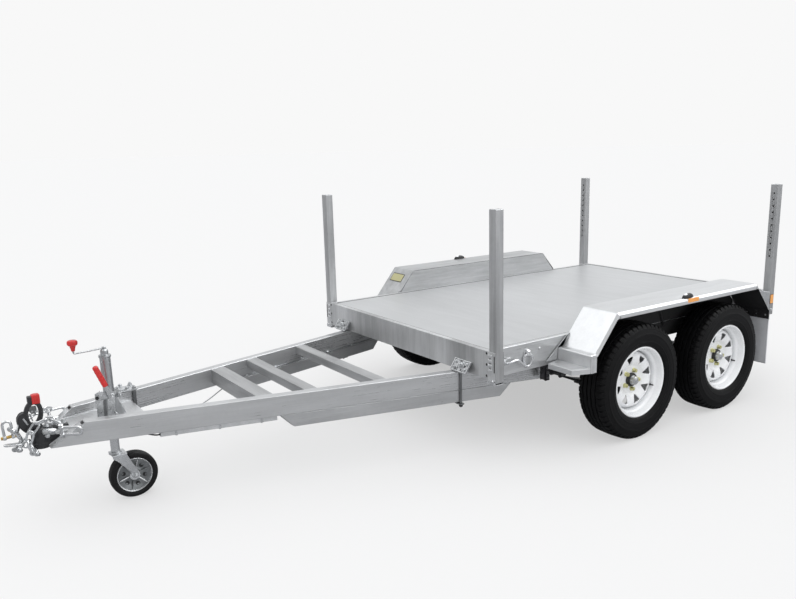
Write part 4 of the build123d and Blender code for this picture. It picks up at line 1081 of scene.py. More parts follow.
# bow shackles on the rails' ends
shackle(b, (131, -1862, 440), (0.35, -0.1, 0.93), (0.28, 0.90, -0.36), w=40.0, h=84.0, t=6.6, pin_mat=0)
shackle(b, (-131, -1862, 440), (-0.35, -0.1, 0.93), (-0.28, 0.90, -0.36), w=40.0, h=84.0, t=6.6, pin_mat=0)
# near chain: over the coupling and hanging down in front of it
line = [(112, -1858, 470), (92, -1884, 484), (74, -1908, 486), (62, -1944, 472), (56, -1972, 436), (50, -1984, 396), (46, -1976, 362), (44, -1958, 336)]
for i, (p, q) in enumerate(zip(line[:-1], line[1:])):
    p, q = Vector(p), Vector(q)
    d = (q - p).normalized()
    one_link(b, p - d * 8, q + d * 8, 30 + 90 * (i % 2), W=32.0)
# far chain: comes over the top and down to the pins in front
line = [(-112, -1858, 470), (-92, -1890, 482), (-66, -1926, 484), (-44, -1964, 476), (-30, -2000, 456), (-14, -2018, 426), (2, -2004, 390), (10, -1986, 366)]
for i, (p, q) in enumerate(zip(line[:-1], line[1:])):
    p, q = Vector(p), Vector(q)
    d = (q - p).normalized()
    one_link(b, p - d * 8, q + d * 8, 60 + 90 * (i % 2), W=32.0)
# loose shackles at the chain ends, brass pins
shackle(b, (0, -2052, 418), (0, 1, 0.06), (0, 0.06, 1), w=34.0, h=72.0, t=6.0, pin_mat=1)
shackle(b, (4, -2040, 448), (1, 0.2, 0), (0, 0.55, -0.83), w=32.0, h=62.0, t=5.6, pin_mat=0)
shackle(b, (10, -2030, 356), (0.9, 0.35, 0.15), (-0.1, 0.75, 0.66), w=34.0, h=54.0, t=6.4, pin_mat=2, bow_mat=2)
shackle(b, (34, -1966, 330), (0.9, 0.4, 0.1), (0, -0.35, 0.94), w=30.0, h=48.0, t=6.0, pin_mat=2, bow_mat=0)
one_link(b, (2, -2076, 384), (8, -2004, 378), 0, W=26.0, t=4.6)
b.done("safety_chain_links", ["chain", "brass", "tube"], "chassis", "zinc", replaces=("safety_chains",), weld=0)


# ---------------------------------------------------------------------------
# mudguards: bent sheet with a rolled outer edge, dark underside
# ---------------------------------------------------------------------------
G_LINE = [(476, 458), (476, 552), (512, 552), (674, 747), (1930, 747), (2093, 562), (2093, 502)]
LIP = [0, 0, 0, 1, 1, 0, 0]


def bend_line(pts, tags, r=9.0, n=5):
    """Open line with rounded bends; returns its points, each with its lip tag."""
    out = []
    for i, p in enumerate(pts):
        p = Vector(p)
        if i in (0, len(pts) - 1):
            out.append((p, tags[i]))
            continue
        a, b = Vector(pts[i - 1]) - p, Vector(pts[i + 1]) - p
        d = min(r, a.length * 0.4, b.length * 0.4)
        p0, p1 = p + a.normalized() * d, p + b.normalized() * d
        for k in range(n + 1):
            s = k / n
            out.append((p0 * (1 - s) ** 2 + p * 2 * s * (1 - s) + p1 * s ** 2, tags[i]))
    return out


for d, s in (("left", 1), ("right", -1)):
    b = Build()
    line = []
    raw = bend_line(G_LINE, LIP)
    # extra points along the straight runs so that the lip can taper
    for (p, tg), (q, th) in zip(raw[:-1], raw[1:]):
        line.append((p, tg))
        L = (q - p).length
        if tg != th:
            for f in (12.0, 26.0, 44.0):
                if tg == 1 and L > 60:
                    line.append((p + (q - p) * (f / L), 0 if f > 12 else 0.5))
            for f in (44.0, 26.0, 12.0):
                if th == 1 and L > 60:
                    line.append((q + (p - q) * (f / L), 0 if f > 12 else 0.5))
        elif tg == 1 and L > 400:
            for k in range(1, 12):
                line.append((p + (q - p) * (k / 12.0), 1))
    line.append(raw[-1])
    pts = [p for p, t in line]
    rows_o, rows_i = [], []
    t_out, t_in = bmesh.new(), bmesh.new()
    for i, (p, tg) in enumerate(line):
        tans = []
        if i > 0 and (p - pts[i - 1]).length > 1e-6:
            tans.append((p - pts[i - 1]).normalized())
        if i < len(pts) - 1 and (pts[i + 1] - p).length > 1e-6:
            tans.append((pts[i + 1] - p).normalized())
        tn = sum(tans, Vector((0, 0))).normalized()
        nrm = Vector((tn.y, -tn.x))                 # towards the wheel
        lip = 14.5 + (33.0 - 14.5) * tg
        cut = 13.0 if 1 <= i < len(pts) - 1 else 9.0
        sec_o = [(798, 0), (1042 - cut - 1.5, 0), (1042 - cut + 1.5, 0.5), (1042 - 1.4, cut - 1.6), (1042, cut + 1.4), (1042, lip - 1), (1041.2, lip), (1039.4, lip)]
        sec_i = [(1039.4, lip), (1039.2, lip - 1), (1039.2, cut + 2.6), (1038.2, cut), (1042 - cut, 3.2), (1042 - cut - 3, 3.0), (798, 3.0)]
        rows_o.append([t_out.verts.new((s * x, p.x + nrm.x * h, p.y + nrm.y * h)) for x, h in sec_o])
        rows_i.append([t_in.verts.new((s * x, p.x + nrm.x * h, p.y + nrm.y * h)) for x, h in sec_i])
    for t, rows in ((t_out, rows_o), (t_in, rows_i)):
        for a, c in zip(rows[:-1], rows[1:]):
            for i in range(len(a) - 1):
                t.faces.new((a[i], a[i + 1], c[i + 1], c[i]))
    b.take(t_out, 0)
    b.take(t_in, 1)
    # wall above the deck edge, bright outside and dark towards the wheel
    wall = [(552, 592), (674, 744.5), (1930, 744.5), (2053, 594), (2050, 560), (560, 560)]
    b.plate(wall, (s * 798, 0, 0), X, Y, 1.6 * s, 0, 0)
    b.plate([(y, z - 0.5) for y, z in wall], (s * 799.6, 0, 0), X, Y, 1.6 * s, 0, 1)
    # dark liner over the side rail behind the wheels
    b.plate([(516, 468), (520, 556), (2089, 556), (2086, 468)], (s * 798.2, 0, 0), X, Y, 1.8 * s, 0, 1)
    # side cheek of the riser
    b.plate([(476.5, 458.5), (476.5, 551), (515, 551), (516, 545), (516, 458.5)], (s * 1042, 0, 0), X, Y, -3 * s, 0.6, 0)
    # tread with turned-down edges
    path = [(806, 477), (834, 378), (1000, 378), (1038, 477)]
    sec = [(24, 486), (3.4, 486), (1.4, 485.5), (0.3, 484), (0, 482), (0, 459), (0.8, 458), (2.6, 458), (3.0, 459), (3.0, 482.4), (24, 482.6)]
    t = bmesh.new()
    rows = []
    cx, cy = 920.0, 440.0
    for i, (x, y) in enumerate(path):
        ns = []
        if i > 0:
            e = Vector(path[i]) - Vector(path[i - 1])
            ns.append(Vector((e.y, -e.x)).normalized())
        if i < 3:
            e = Vector(path[i + 1]) - Vector(path[i])
            ns.append(Vector((e.y, -e.x)).normalized())
        ns = [n_ if n_.dot(Vector((cx - x, cy - y))) > 0 else -n_ for n_ in ns]
        m_ = sum(ns, Vector((0, 0)))
        m_ = m_ * (len(ns) / m_.length_squared) if len(ns) > 1 else m_
        rows.append([t.verts.new((s * (x + m_.x * o), y + m_.y * o, z)) for o, z in sec])
    for a, c in zip(rows[:-1], rows[1:]):
        for i in range(len(sec)):
            j = (i + 1) % len(sec)
            t.faces.new((a[i], a[j], c[j], c[i]))
    t.faces.new(rows[0])
    t.faces.new(rows[-1])
    b.take(t, 0)
    b.plate([(828, 476.5), (851, 400), (985, 400), (1014, 476.5)], (0, 0, 482.6), Z, X, 3.4, 0, 0) if s > 0 else \
        b.plate([(-828, 476.5), (-851, 400), (-985, 400), (-1014, 476.5)], (0, 0, 482.6), Z, X, 3.4, 0, 0)
    # three-cornered gusset from the slope down to the tread
    gus = [(392, 486.2), (474, 486.2), (474, 552.5), (511, 554), (566, 618), (554, 618)]
    b.plate(gus, (s * 803, 0, 0), X, Y, 3.0 * s, 0.8, 0)
    b.sweep([(s * 805.5, 392, 487.5), (s * 805.5, 554, 618)], 2.0, 8, 2)
    # weld beads: tread to riser, riser to rail, slope cheek
    b.sweep([(s * 810, 475.2, 486.4), (s * 920, 475.0, 486.8), (s * 1034, 475.2, 486.4)], 2.0, 8, 2)
    b.sweep([(s * 799.5, 475.5, 462), (s * 799.5, 475.5, 548)], 1.8, 8, 2)
    # round-headed rivets on the wall
    for y in (700, 1010, 1320, 1630, 1900):
        b.lathe([(0, 0), (5.2, 0), (5.0, 1.2), (3.6, 2.5), (0, 3.0)], (s * 801, y, 724), (s, 0, 0), 16, 1, ends=False)
    # slanting stays of flat bar between the wheels
    for ya, yb in ((1268, 1352), (760, 700)):
        b.sweep([(s * 812, ya, 742), (s * 809, (ya + yb) / 2, 640), (s * 806, yb, 540)], 7.0, 8, 3, squash=0.5, ref=(0, 1, 0))
        b.hexa((s * 803, yb, 540), (s, 0, 0), 15, 8, 3, washer=10)
    # the far guard takes the darker copy of the galvanising: painted shade
    b.done("mudguard_shell_%s" % d, ["guard" if s > 0 else "guard_painted_shade", "dark_underside", "weld", "black"], "chassis", "galvanised", angle=28, replaces=("mudguard_%s" % d,))

# ---------------------------------------------------------------------------
# mudflaps
# ---------------------------------------------------------------------------
for d, s in (("left", 1), ("right", -1)):
    b = Build()
    t = bmesh.new()
    nx, nz = 24, 40
    g = []
    for k in range(nz + 1):
        z = 548 - (548 - 212) * k / nz
        row = []
        for i in range(nx + 1):
            x = 862 + 168 * i / nx
            y = 2096.3 + 1.4 * math.sin(i * 0.42 + k * 0.11) * (k / nz) - 0.6 * math.sin(k * 0.23)
            if 40 < 168 * i / nx < 128 and k % 5 == 2 and 8 < k < 36:
                y -= 1.4
            row.append((x, y, z))
        g.append(row)
    fr = [[t.verts.new((s * x, y, z)) for x, y, z in row] for row in g]
    bk = [[t.verts.new((s * x, y + 4.6, z)) for x, y, z in row] for row in g]
    for q, sgn in ((fr, 1), (bk, -1)):
        for k in range(nz):
            for i in range(nx):
                t.faces.new((q[k][i], q[k][i + 1], q[k + 1][i + 1], q[k + 1][i]))
    for k in range(nz):
        for i in (0, nx):
            t.faces.new((fr[k][i], fr[k + 1][i], bk[k + 1][i], bk[k][i]))
    for i in range(nx):
        for k in (0, nz):
            t.faces.new((fr[k][i], fr[k][i + 1], bk[k][i + 1], bk[k][i]))
    b.take(t, 0)
    # moulded rim, backing strip and its bolts
    rim_pts = [(s * 864, 2095.8, 540), (s * 864, 2095.8, 216), (s * 1028, 2095.8, 216), (s * 1028, 2095.8, 540)]
    b.sweep(rim_pts, 2.4, 8, 0)
    b.box(*sorted((s * 864, s * 1028)), 2101.0, 2104.5, 512, 540, 1.2, 1)
    for x in (884, 946, 1008):
        b.hexa((s * x, 2104.5, 526), Y, 13, 6, 1, washer=9, stud=3)
        b.lathe([(0, 0), (8, 0), (7.5, 2), (4, 4), (0, 4.6)], (s * x, 2093, 526), (0, -1, 0), 18, 1, ends=False)
    b.done("mudflap_%s" % d, ["flap", "zinc"], "chassis", "flap", angle=40, replaces=("mudflaps",))

# ---------------------------------------------------------------------------
# leaf springs, hangers and rockers
# ---------------------------------------------------------------------------
SX, EYE, LT = 752.0, 388.0, 8.0
AF, AR = 898.0, 1678.0
MID = (AF + AR) / 2
for d, s in (("left", 1), ("right", -1)):
    b = Build()
    top = AXLE_Z - 22.5
    for yc, e0, e1 in ((AF, AF - 365, MID - 72), (AR, MID + 72, AR + 365)):
        for k in range(5):
            f = 1.0 - 0.17 * k
            zt = top - LT * k
            rise = (EYE - 6 - top) * f ** 1.7
            pts = []
            for end, sgn in ((yc + (e0 - yc) * f, -1), (yc + (e1 - yc) * f, 1)):
                half = []
                for i in range(11):
                    u = i / 10.0
                    half.append((yc + sgn * 60 * (1 - u) + (end - yc) * u, zt - LT / 2 + rise * u ** 1.7))
                pts = half[::-1] + pts if sgn < 0 else pts + half
            t = bmesh.new()
            rows = []
            n = len(pts)
            for i, (y, z) in enumerate(pts):
                a = Vector(pts[max(0, i - 1)])
                c = Vector(pts[min(n - 1, i + 1)])
                tg = (c - a).normalized()
                nn = Vector((-tg.y, tg.x))
                w = 30.0 if 0 < i < n - 1 or k == 0 else 22.0
                row = []
                for xx, hh in ((w - 1.5, 3.8), (w, 2.2), (w, -2.2), (w - 1.5, -3.8), (-w + 1.5, -3.8), (-w, -2.2), (-w, 2.2), (-w + 1.5, 3.8)):
                    row.append(t.verts.new((s * (SX + xx), y + nn.x * hh, z + nn.y * hh)))
                rows.append(row)
            for a, c in zip(rows[:-1], rows[1:]):
                for i in range(8):
                    j = (i + 1) % 8
                    t.faces.new((a[i], a[j], c[j], c[i]))
            t.faces.new(rows[0])
            t.faces.new(rows[-1])
            b.take(t, 0)
        for ey in (e0, e1):
            b.lathe([(9, -29.5), (13.5, -29.5), (15, -28), (15, 28), (13.5, 29.5), (9, 29.5)], (s * SX, ey, EYE), (s, 0, 0), 28, 0, closed=True)
            b.lathe([(0, -42), (7.8, -42), (7.8, 42), (0, 42)], (s * SX, ey, EYE), (s, 0, 0), 18, 1, ends=False)
        # clamp plate, U bolts, centre bolt, leaf clips
        b.box(*sorted((s * (SX - 45), s * (SX + 45))), yc - 50, yc + 50, top - 48, top - 40.5, 1.8, 0)
        for yy in (yc - 32, yc + 32):
            u_pts = [(s * (SX - 37), yy, top - 60), (s * (SX - 37), yy, top + 40)]
            u_pts += [tuple(v) for v in arc_pts((s * (SX - 25), yy, top + 40), 12, 180, 90, 4, (s, 0, 0), (0, 0, 1))]
            u_pts += [tuple(v) for v in arc_pts((s * (SX + 25), yy, top + 40), 12, 90, 0, 4, (s, 0, 0), (0, 0, 1))]
            u_pts += [(s * (SX + 37), yy, top - 60)]
            b.sweep(u_pts, 5.6, 12, 1)
            for xx in (-37, 37):
                b.hexa((s * (SX + xx), yy, top - 48), -Z, 18, 9, 1, washer=11)
        b.hexa((s * SX, yc, top - 48), -Z, 15, 7, 0)
        for sg in (-1, 1):
            yy = yc + sg * 190
            zz = top - 16 + (EYE - 6 - top) * ((190 - 60) / 305.0) ** 1.7
            b.box(*sorted((s * (SX - 34), s * (SX + 34))), yy - 12, yy + 12, zz - 14, zz + 14, 2.0, 0)
    for yy in (AF - 365, AR + 365):
        for g_ in (-1, 1):
            x0 = SX + g_ * 33
            b.plate([(yy - 52, 465), (yy + 52, 465), (yy + 50, 450), (yy + 27, 378), (yy + 20, 370), (yy - 20, 370), (yy - 27, 378), (yy - 50, 450)], (s * (x0 - 3), 0, 0), (s, 0, 0), Y, 6.0, 0.9, 0) if s > 0 else \
                b.plate([(yy - 52, 465), (yy + 52, 465), (yy + 50, 450), (yy + 27, 378), (yy + 20, 370), (yy - 20, 370), (yy - 27, 378), (yy - 50, 450)], (s * (x0 - 3), 0, 0), (1, 0, 0), Y, -6.0, 0.9, 0)
            b.hexa((s * (SX + g_ * 36), yy, EYE), (s * g_, 0, 0), 19, 8, 1, washer=12)
        b.box(*sorted((s * (SX - 30), s * (SX + 30))), yy - 50, yy + 50, 460, 465, 1.0, 0)
    for g_ in (-1, 1):
        x0 = SX + g_ * 33
        b.plate([(MID - 60, 465), (MID + 60, 465), (MID + 30, 390), (MID + 18, 382), (MID - 18, 382), (MID - 30, 390)], (s * x0 - 3, 0, 0), X, Y, 6.0, 0.9, 0)
        x1 = SX + g_ * 38.5
        b.plate([(MID - 92, EYE - 16), (MID + 92, EYE - 16), (MID + 98, EYE - 4), (MID + 92, EYE + 14), (MID + 30, EYE + 38), (MID - 30, EYE + 38), (MID - 92, EYE + 14), (MID - 98, EYE - 4)],
                (s * x1 - 2.5, 0, 0), X, Y, 5.0, 0.9, 0, corner=5)
        b.hexa((s * (SX + g_ * 41), MID, EYE + 12), (s * g_, 0, 0), 24, 9, 1, washer=15)
        for yy in (MID - 72, MID + 72):
            b.hexa((s * (SX + g_ * 41), yy, EYE), (s * g_, 0, 0), 17, 7, 1, washer=11)
    b.sweep([(s * (SX - 44), MID, EYE + 12), (s * (SX + 44), MID, EYE + 12)], 9.8, 18, 1)
    # cable bracket ahead of the hanger
    b.box(*sorted((s * (SX - 4), s * (SX + 2))), 404, 436, 374, 465, 1.2, 0)
    b.box(*sorted((s * (SX + 30), s * (SX + 36))), 404, 436, 374, 465, 1.2, 0)
    b.box(*sorted((s * (SX - 4), s * (SX + 36))), 404, 409, 378, 465, 1.2, 0)
    b.box(*sorted((s * (SX + 30), s * (SX + 36))), 420, AF - 395, 443, 465, 1.2, 0)
    for z in (392, 418, 444):
        b.hexa((s * (SX + 36), 420, z), (s, 0, 0), 13, 6, 1, washer=9, stud=2)
    b.sweep([(s * (SX + 16), 404, 440), (s * (SX + 16), 396, 436), (s * (SX + 10), 392, 424), (s * (SX + 4), 396, 412), (s * (SX + 8), 404, 406)], 3.2, 8, 0)
    b.done("spring_set_%s" % d, ["black", "spring_zinc"], "chassis", "spring_black", angle=32, replaces=("springs_%s" % d,))

# ---------------------------------------------------------------------------
# clamps that hold the deck frame on the drawbar
# ---------------------------------------------------------------------------
b = Build()
for s in (-1, 1):
    xc = s * 607.0
    w = Vector((0, -0.828, 0.561))
    o = Vector((xc, -39.5, 466.8))
    m3 = basis(w, X)
    m4 = Matrix.Translation(o) @ m3.to_4x4()
    at = lambda u, v, h=0.0: o + m3 @ Vector((u, v, h))
    b.plate(rounded([(-62, 0), (60, 0), (66, 69), (-66, 69)], 8), o, w, X, 5.0, 1.2, 0)
    # raised border and cross ribs; the border strips along both long edges and the left end are bright zinc, a painted
    # highlight
    for x0, x1, y0, y1 in ((-62, 60, 0, 6), (-66, 66, 62.5, 69), (-65, -58.5, 3, 66), (57, 64, 3, 66), (-22, -17, 5, 64), (22, 27, 5, 64)):
        b.box(x0, x1, y0, y1, 4, 10.5, 2.6, 3 if y1 - y0 < 8 or x0 < -50 else 0, m=m4, segs=3)
    b.lathe([(0, 4), (18, 4), (17.4, 10), (15.5, 13), (0, 13)], at(0, 38), w, 28, 0, ends=False)
    b.hexa(at(0, 38, 13), w, 20, 9, 3, stud=6)
    for u, v in ((-44, 50), (-42, 20), (43, 50), (42, 20)):
        b.lathe([(0, 4), (11, 4), (10.4, 8), (0, 8)], at(u, v), w, 20, 0, ends=False)
        b.hexa(at(u, v, 8), w, 13, 6, 3, stud=3)
    for u, v in ((-30, 12), (12, 14), (34, 36), (-8, 60)):
        b.lathe([(0, 0), (5.0, 0), (5.0, 6.0), (0, 6.0)], at(u, v), w, 16, 2, ends=False)
    # foot of the casting on the rail
    b.box(xc - 56, xc + 50, -42, -30, 466.0, 472, 2.5, 0, segs=3)
    xr = s * 607.0
    b.sweep([(xr, -26, 286), (xr, -26, 497)], 6.0, 16, 4)
    for k in range(9):
        b.lathe([(6.0, -1.0), (6.5, 0), (6.0, 1.0)], (xr, -26, 484 + 1.4 * k), Z, 16, 4, ends=False)
    b.box(*sorted((xr + s * 14, xr - s * 38)), -39, -13, 289, 297, 2.4, 4)
    b.hexa((xr, -26, 289), -Z, 18, 9, 2, washer=11, stud=3)
    b.box(*sorted((xr - s * 36, xr - s * 30)), -38, -14, 297, 312, 1.5, 4)
# strap clamp round the right rail, plate with its nuts on top
uy, ui, uo = -1463.0, -179.9, -231.5
ui2, uo2 = ui + 8, uo - 8
u_pts = [(ui2, uy, 351), (ui2, uy, 484)]
b.sweep(u_pts, 6.4, 12, 4, squash=1.35, ref=X)
b.sweep([(uo2, uy, 351), (uo2, uy, 484)], 6.4, 12, 4, squash=1.35, ref=X)
b.box(uo - 16, ui + 16, uy - 16, uy + 16, 357, 363.5, 2, 4)
for x in (ui2, uo2):
    b.hexa((x, uy, 357), -Z, 18, 8, 2, washer=11, stud=3)
    b.hexa((x, uy, 475.5), Z, 18, 9, 1, washer=12, stud=8)
b.plate(rounded([(uo - 16, uy - 92), (ui + 22, uy - 92), (ui + 16, uy + 17), (uo - 16, uy + 17)], 10), (0, 0, 469), Z, X, 6.5, 1.4, 0)
b.box(uo - 2, ui + 4, uy - 80, uy - 40, 475, 484, 3.5, 0, segs=3)
for x, y in ((ui - 8, uy - 72), (uo + 10, uy - 52), (ui - 4, uy - 30)):
    b.hexa((x, y, 475.5 if y > uy - 40 else 484), Z, 17, 8, 1, washer=11, stud=4)
b.done("frame_clamps", ["cast_zinc", "zinc", "black", "bright_zinc", "dark_zinc"], "chassis", "zinc", replaces=("panel_clamps",))

# ---------------------------------------------------------------------------
# lashing rings, hooks and staples
# ---------------------------------------------------------------------------
b = Build()
for s in (-1, 1):
    for y in (258, 2180):
        ring = []
        for k in range(36):
            a = 2 * math.pi * k / 36
            sa = math.sin(a)
            # pear-shaped: narrower towards its foot
            ring.append((s * (809 + 2.0 * math.cos(a)), y + 27.0 * math.cos(a) * (1.0 + 0.16 * sa), 523 + (31.0 if sa > 0 else 34.0) * sa))
        b.sweep(ring, 6.0, 16, 2, closed=True)
        b.lathe([(13.0, 0), (14.5, 0.6), (14.5, 2.2), (13.0, 3.0)], (s * 801, y, 556), (s, 0, 0), 26, 3, closed=True)
        # staple with a round bright boss
        b.box(*sorted((s * 798, s * 801.5)), y - 24, y + 24, 536, 570, 1.2, 1)
        b.box(*sorted((s * 798, s * 817.5)), y - 13, y + 13, 541, 563, 6.0, 1, segs=4)
        b.lathe([(0, 0), (12.0, 0), (13.2, 2.0), (13.0, 9), (10.5, 14), (5.5, 16.4), (0, 17)], (s * 804, y, 562), (s * 0.5, 0, 0.87), 28, 2, ends=False)
        for yy in (y - 19, y + 19):
            b.lathe([(0, 0), (3.6, 0), (3.2, 1.6), (0, 2.4)], (s * 801.4, yy, 561), (s, 0, 0), 14, 0, ends=False)
    hk = smooth_line([(s * 797, 112, 528), (s * 812, 114, 529), (s * 821, 130, 534), (s * 824, 158, 540), (s * 824, 180, 536), (s * 824, 206, 514), (s * 824, 232, 491)], 6)
    b.sweep(hk, 6.0, 14, 2, radii=[6.0] * (len(hk) - 3) + [5.6, 4.6, 3.0])
    b.lathe([(0, 0), (10, 0), (10, 1.5), (7, 4), (0, 4)], (s * 798, 112, 528), (s, 0, 0), 22, 1, ends=False)
    st = smooth_line([(s * 797, 104, 558), (s * 808, 105, 558), (s * 812, 112, 557), (s * 812, 128, 555), (s * 808, 136, 554), (s * 797, 137, 554)], 5)
    b.sweep(st, 3.4, 12, 1)
    # tie rail staples along the side
    for y in (300 + 48, 2290):
        b.lathe([(0, 0), (8.5, 0), (8.0, 2.2), (5, 4.4), (0, 5.0)], (s * 798, y, 566), (s, 0, 0), 20, 1, ends=False)
b.done("lashing_fittings", ["zinc", "galv", "bright_zinc", "dark_zinc"], "chassis", "zinc", replaces=("lashing_points",))

# ---------------------------------------------------------------------------
# lamps and reflectors
# ---------------------------------------------------------------------------
b = Build()
for s in (-1, 1):
    # black side lamp on the guard; a small pale blob on its top front is a painted highlight
    y0, y1 = 1208, 1292
    t = bmesh.new()
    bmesh.ops.create_uvsphere(t, u_segments=28, v_segments=14, radius=1.0)
    for v in list(t.verts):
        if v.co.z < -0.05:
            v.co.z = -0.05
    bmesh.ops.transform(t, matrix=Matrix.Translation((s * 1024, 1266, 748)) @ Matrix.Diagonal((14, 49, 25, 1)), verts=t.verts)
    b.take(t, 1)
    # pale blob on the lamp's top front: a painted highlight
    t = bmesh.new()
    bmesh.ops.create_uvsphere(t, u_segments=24, v_segments=12, radius=1.0)
    bmesh.ops.transform(t, matrix=Matrix.Translation((s * 1024, 1252, 760)) @ Matrix.Diagonal((9.5, 22, 13, 1)), verts=t.verts)
    b.take(t, 2)
    # amber reflector on the lip, in a slim holder
    b.box(*sorted((s * 1041.8, s * 1043.0)), 1249, 1346, 722, 746, 0.5, 0)
    b.box(*sorted((s * 1042.8, s * 1044.4)), 1252, 1343, 724.5, 743.5, 0.7, 0, segs=3)
    for k in range(11):
        b.box(*sorted((s * 1044.2, s * 1045.0)), 1256 + 7.8 * k, 1261 + 7.8 * k, 727, 741, 0.3, 0)
    # post reflector
    b.box(*sorted((s * 848, s * 849.6)), 2406, 2444, 526, 590, 0.8, 1)
    b.box(*sorted((s * 849.2, s * 851.2)), 2409, 2441, 529, 587, 0.9, 0, segs=3)
    for k in range(7):
        b.box(*sorted((s * 851.0, s * 851.6)), 2412, 2438, 532 + 7.4 * k, 536.6 + 7.4 * k, 0.3, 0)
b.done("side_lamps_reflectors", ["amber", "hubblack", "lamp_painted_highlight"], "chassis", "amber_lens", replaces=("marker_lamps",))

b = Build()
for s in (-1, 1):
    b.box(*sorted((s * 560, s * 760)), 2450, 2464, 495, 580, 6, 1, segs=3)
    for x0, x1, mt in ((564, 630, 0), (634, 692, 2), (696, 756, 0)):
        b.box(*sorted((s * x0, s * x1)), 2462, 2470.5, 500, 575, 4, mt, segs=3)
        n = int((x1 - x0 - 10) / 5)
        for k in range(n):
            b.box(*sorted((s * (x0 + 6 + 5 * k), s * (x0 + 9 + 5 * k))), 2470.2, 2471.4, 505, 570, 0.4, mt)
    for x in (570, 750):
        b.lathe([(0, 0), (3.6, 0), (3.4, 1.4), (0, 1.8)], (s * x, 2464, 489 + 8), Y, 14, 3, ends=False)
b.done("tail_lamp_units", ["redlens", "hubblack", "amber", "zinc"], "chassis", "lamp_lens", replaces=("tail_lamps",))

b = Build()
b.plate(rounded([(-186, 474), (186, 474), (186, 608), (-186, 608)], 9, 5), (0, 2450.2, 0), (0, -1, 0), X, -2.6, 0.8, 0)
edge = rounded([(-182, 478), (182, 478), (182, 604), (-182, 604)], 8, 5)
b.sweep([(x, 2452.8, z) for x, z in edge], 1.5, 8, 0, closed=True)
for x in (-150, 150):
    for z in (486, 596):
        b.lathe([(0, 0), (6.5, 0), (6.2, 1.4), (4, 2.0), (0, 2.0)], (x, 2452.6, z), Y, 18, 1, ends=False)
b.done("blank_number_plate", ["blank", "zinc"], "chassis", "plate_blank", replaces=("number_plate",))

# ---------------------------------------------------------------------------
# wiring conduit: square tube with an open front end, clipped under the rail
# ---------------------------------------------------------------------------
b = Build()
ox = lambda y: 605 + 0.25538 * y
t = bmesh.new()
ring_o, ring_i = [], []
W0, W1 = 26.0, 22.0
for y, zb in ((-1467, 343), (-949, 343)):
    x1 = ox(y) - 8
    ring_o.append([t.verts.new((x, yy, z)) for x, z, yy in ((x1, 364.6, y), (x1, 345, y), (x1 - 2, zb, y), (x1 - W0 + 2, zb, y), (x1 - W0, 345, y), (x1 - W0, 364.6, y))])
    ring_i.append([t.verts.new((x, yy, z)) for x, z, yy in ((x1 - 2.4, 362, y), (x1 - 2.4, 346.6, y), (x1 - 3.4, zb + 2.4, y), (x1 - W0 + 3.4, zb + 2.4, y), (x1 - W0 + 2.4, 346.6, y), (x1 - W0 + 2.4, 362, y))])
for rings in (ring_o, ring_i):
    for i in range(6):
        j = (i + 1) % 6
        t.faces.new((rings[0][i], rings[0][j], rings[1][j], rings[1][i]))
for e in (0, 1):
    for i in range(6):
        j = (i + 1) % 6
        t.faces.new((ring_o[e][i], ring_o[e][j], ring_i[e][j], ring_i[e][i]))
b.take(t, 0)
b.box(ox(-1440) - 31, ox(-1440) - 11, -1444, -1440, 346, 362, 0.5, 1)
for y in (-1400, -1210, -1020):
    x1 = ox(y) - 8
    b.sweep([(x1 + 1.5, y, 366), (x1 + 1.5, y, 343), (x1 - 1, y, 341.4), (x1 - 25, y, 341.4), (x1 - 27.5, y, 343), (x1 - 27.5, y, 366)], 1.6, 8, 2, squash=3.4, ref=X)
cab = smooth_line([(ox(-1467) - 20, -1452, 354), (ox(-1467) - 22, -1480, 352), (ox(-1500) - 30, -1510, 358), (ox(-1540) - 40, -1550, 372), (ox(-1600) - 56, -1600, 388), (ox(-1600) - 70, -1625, 402)], 6)
b.sweep(cab, 3.6, 12, 1)
b.done("wiring_channel", ["galv", "black", "zinc"], "chassis", "galvanised", replaces=("wiring_conduit",))

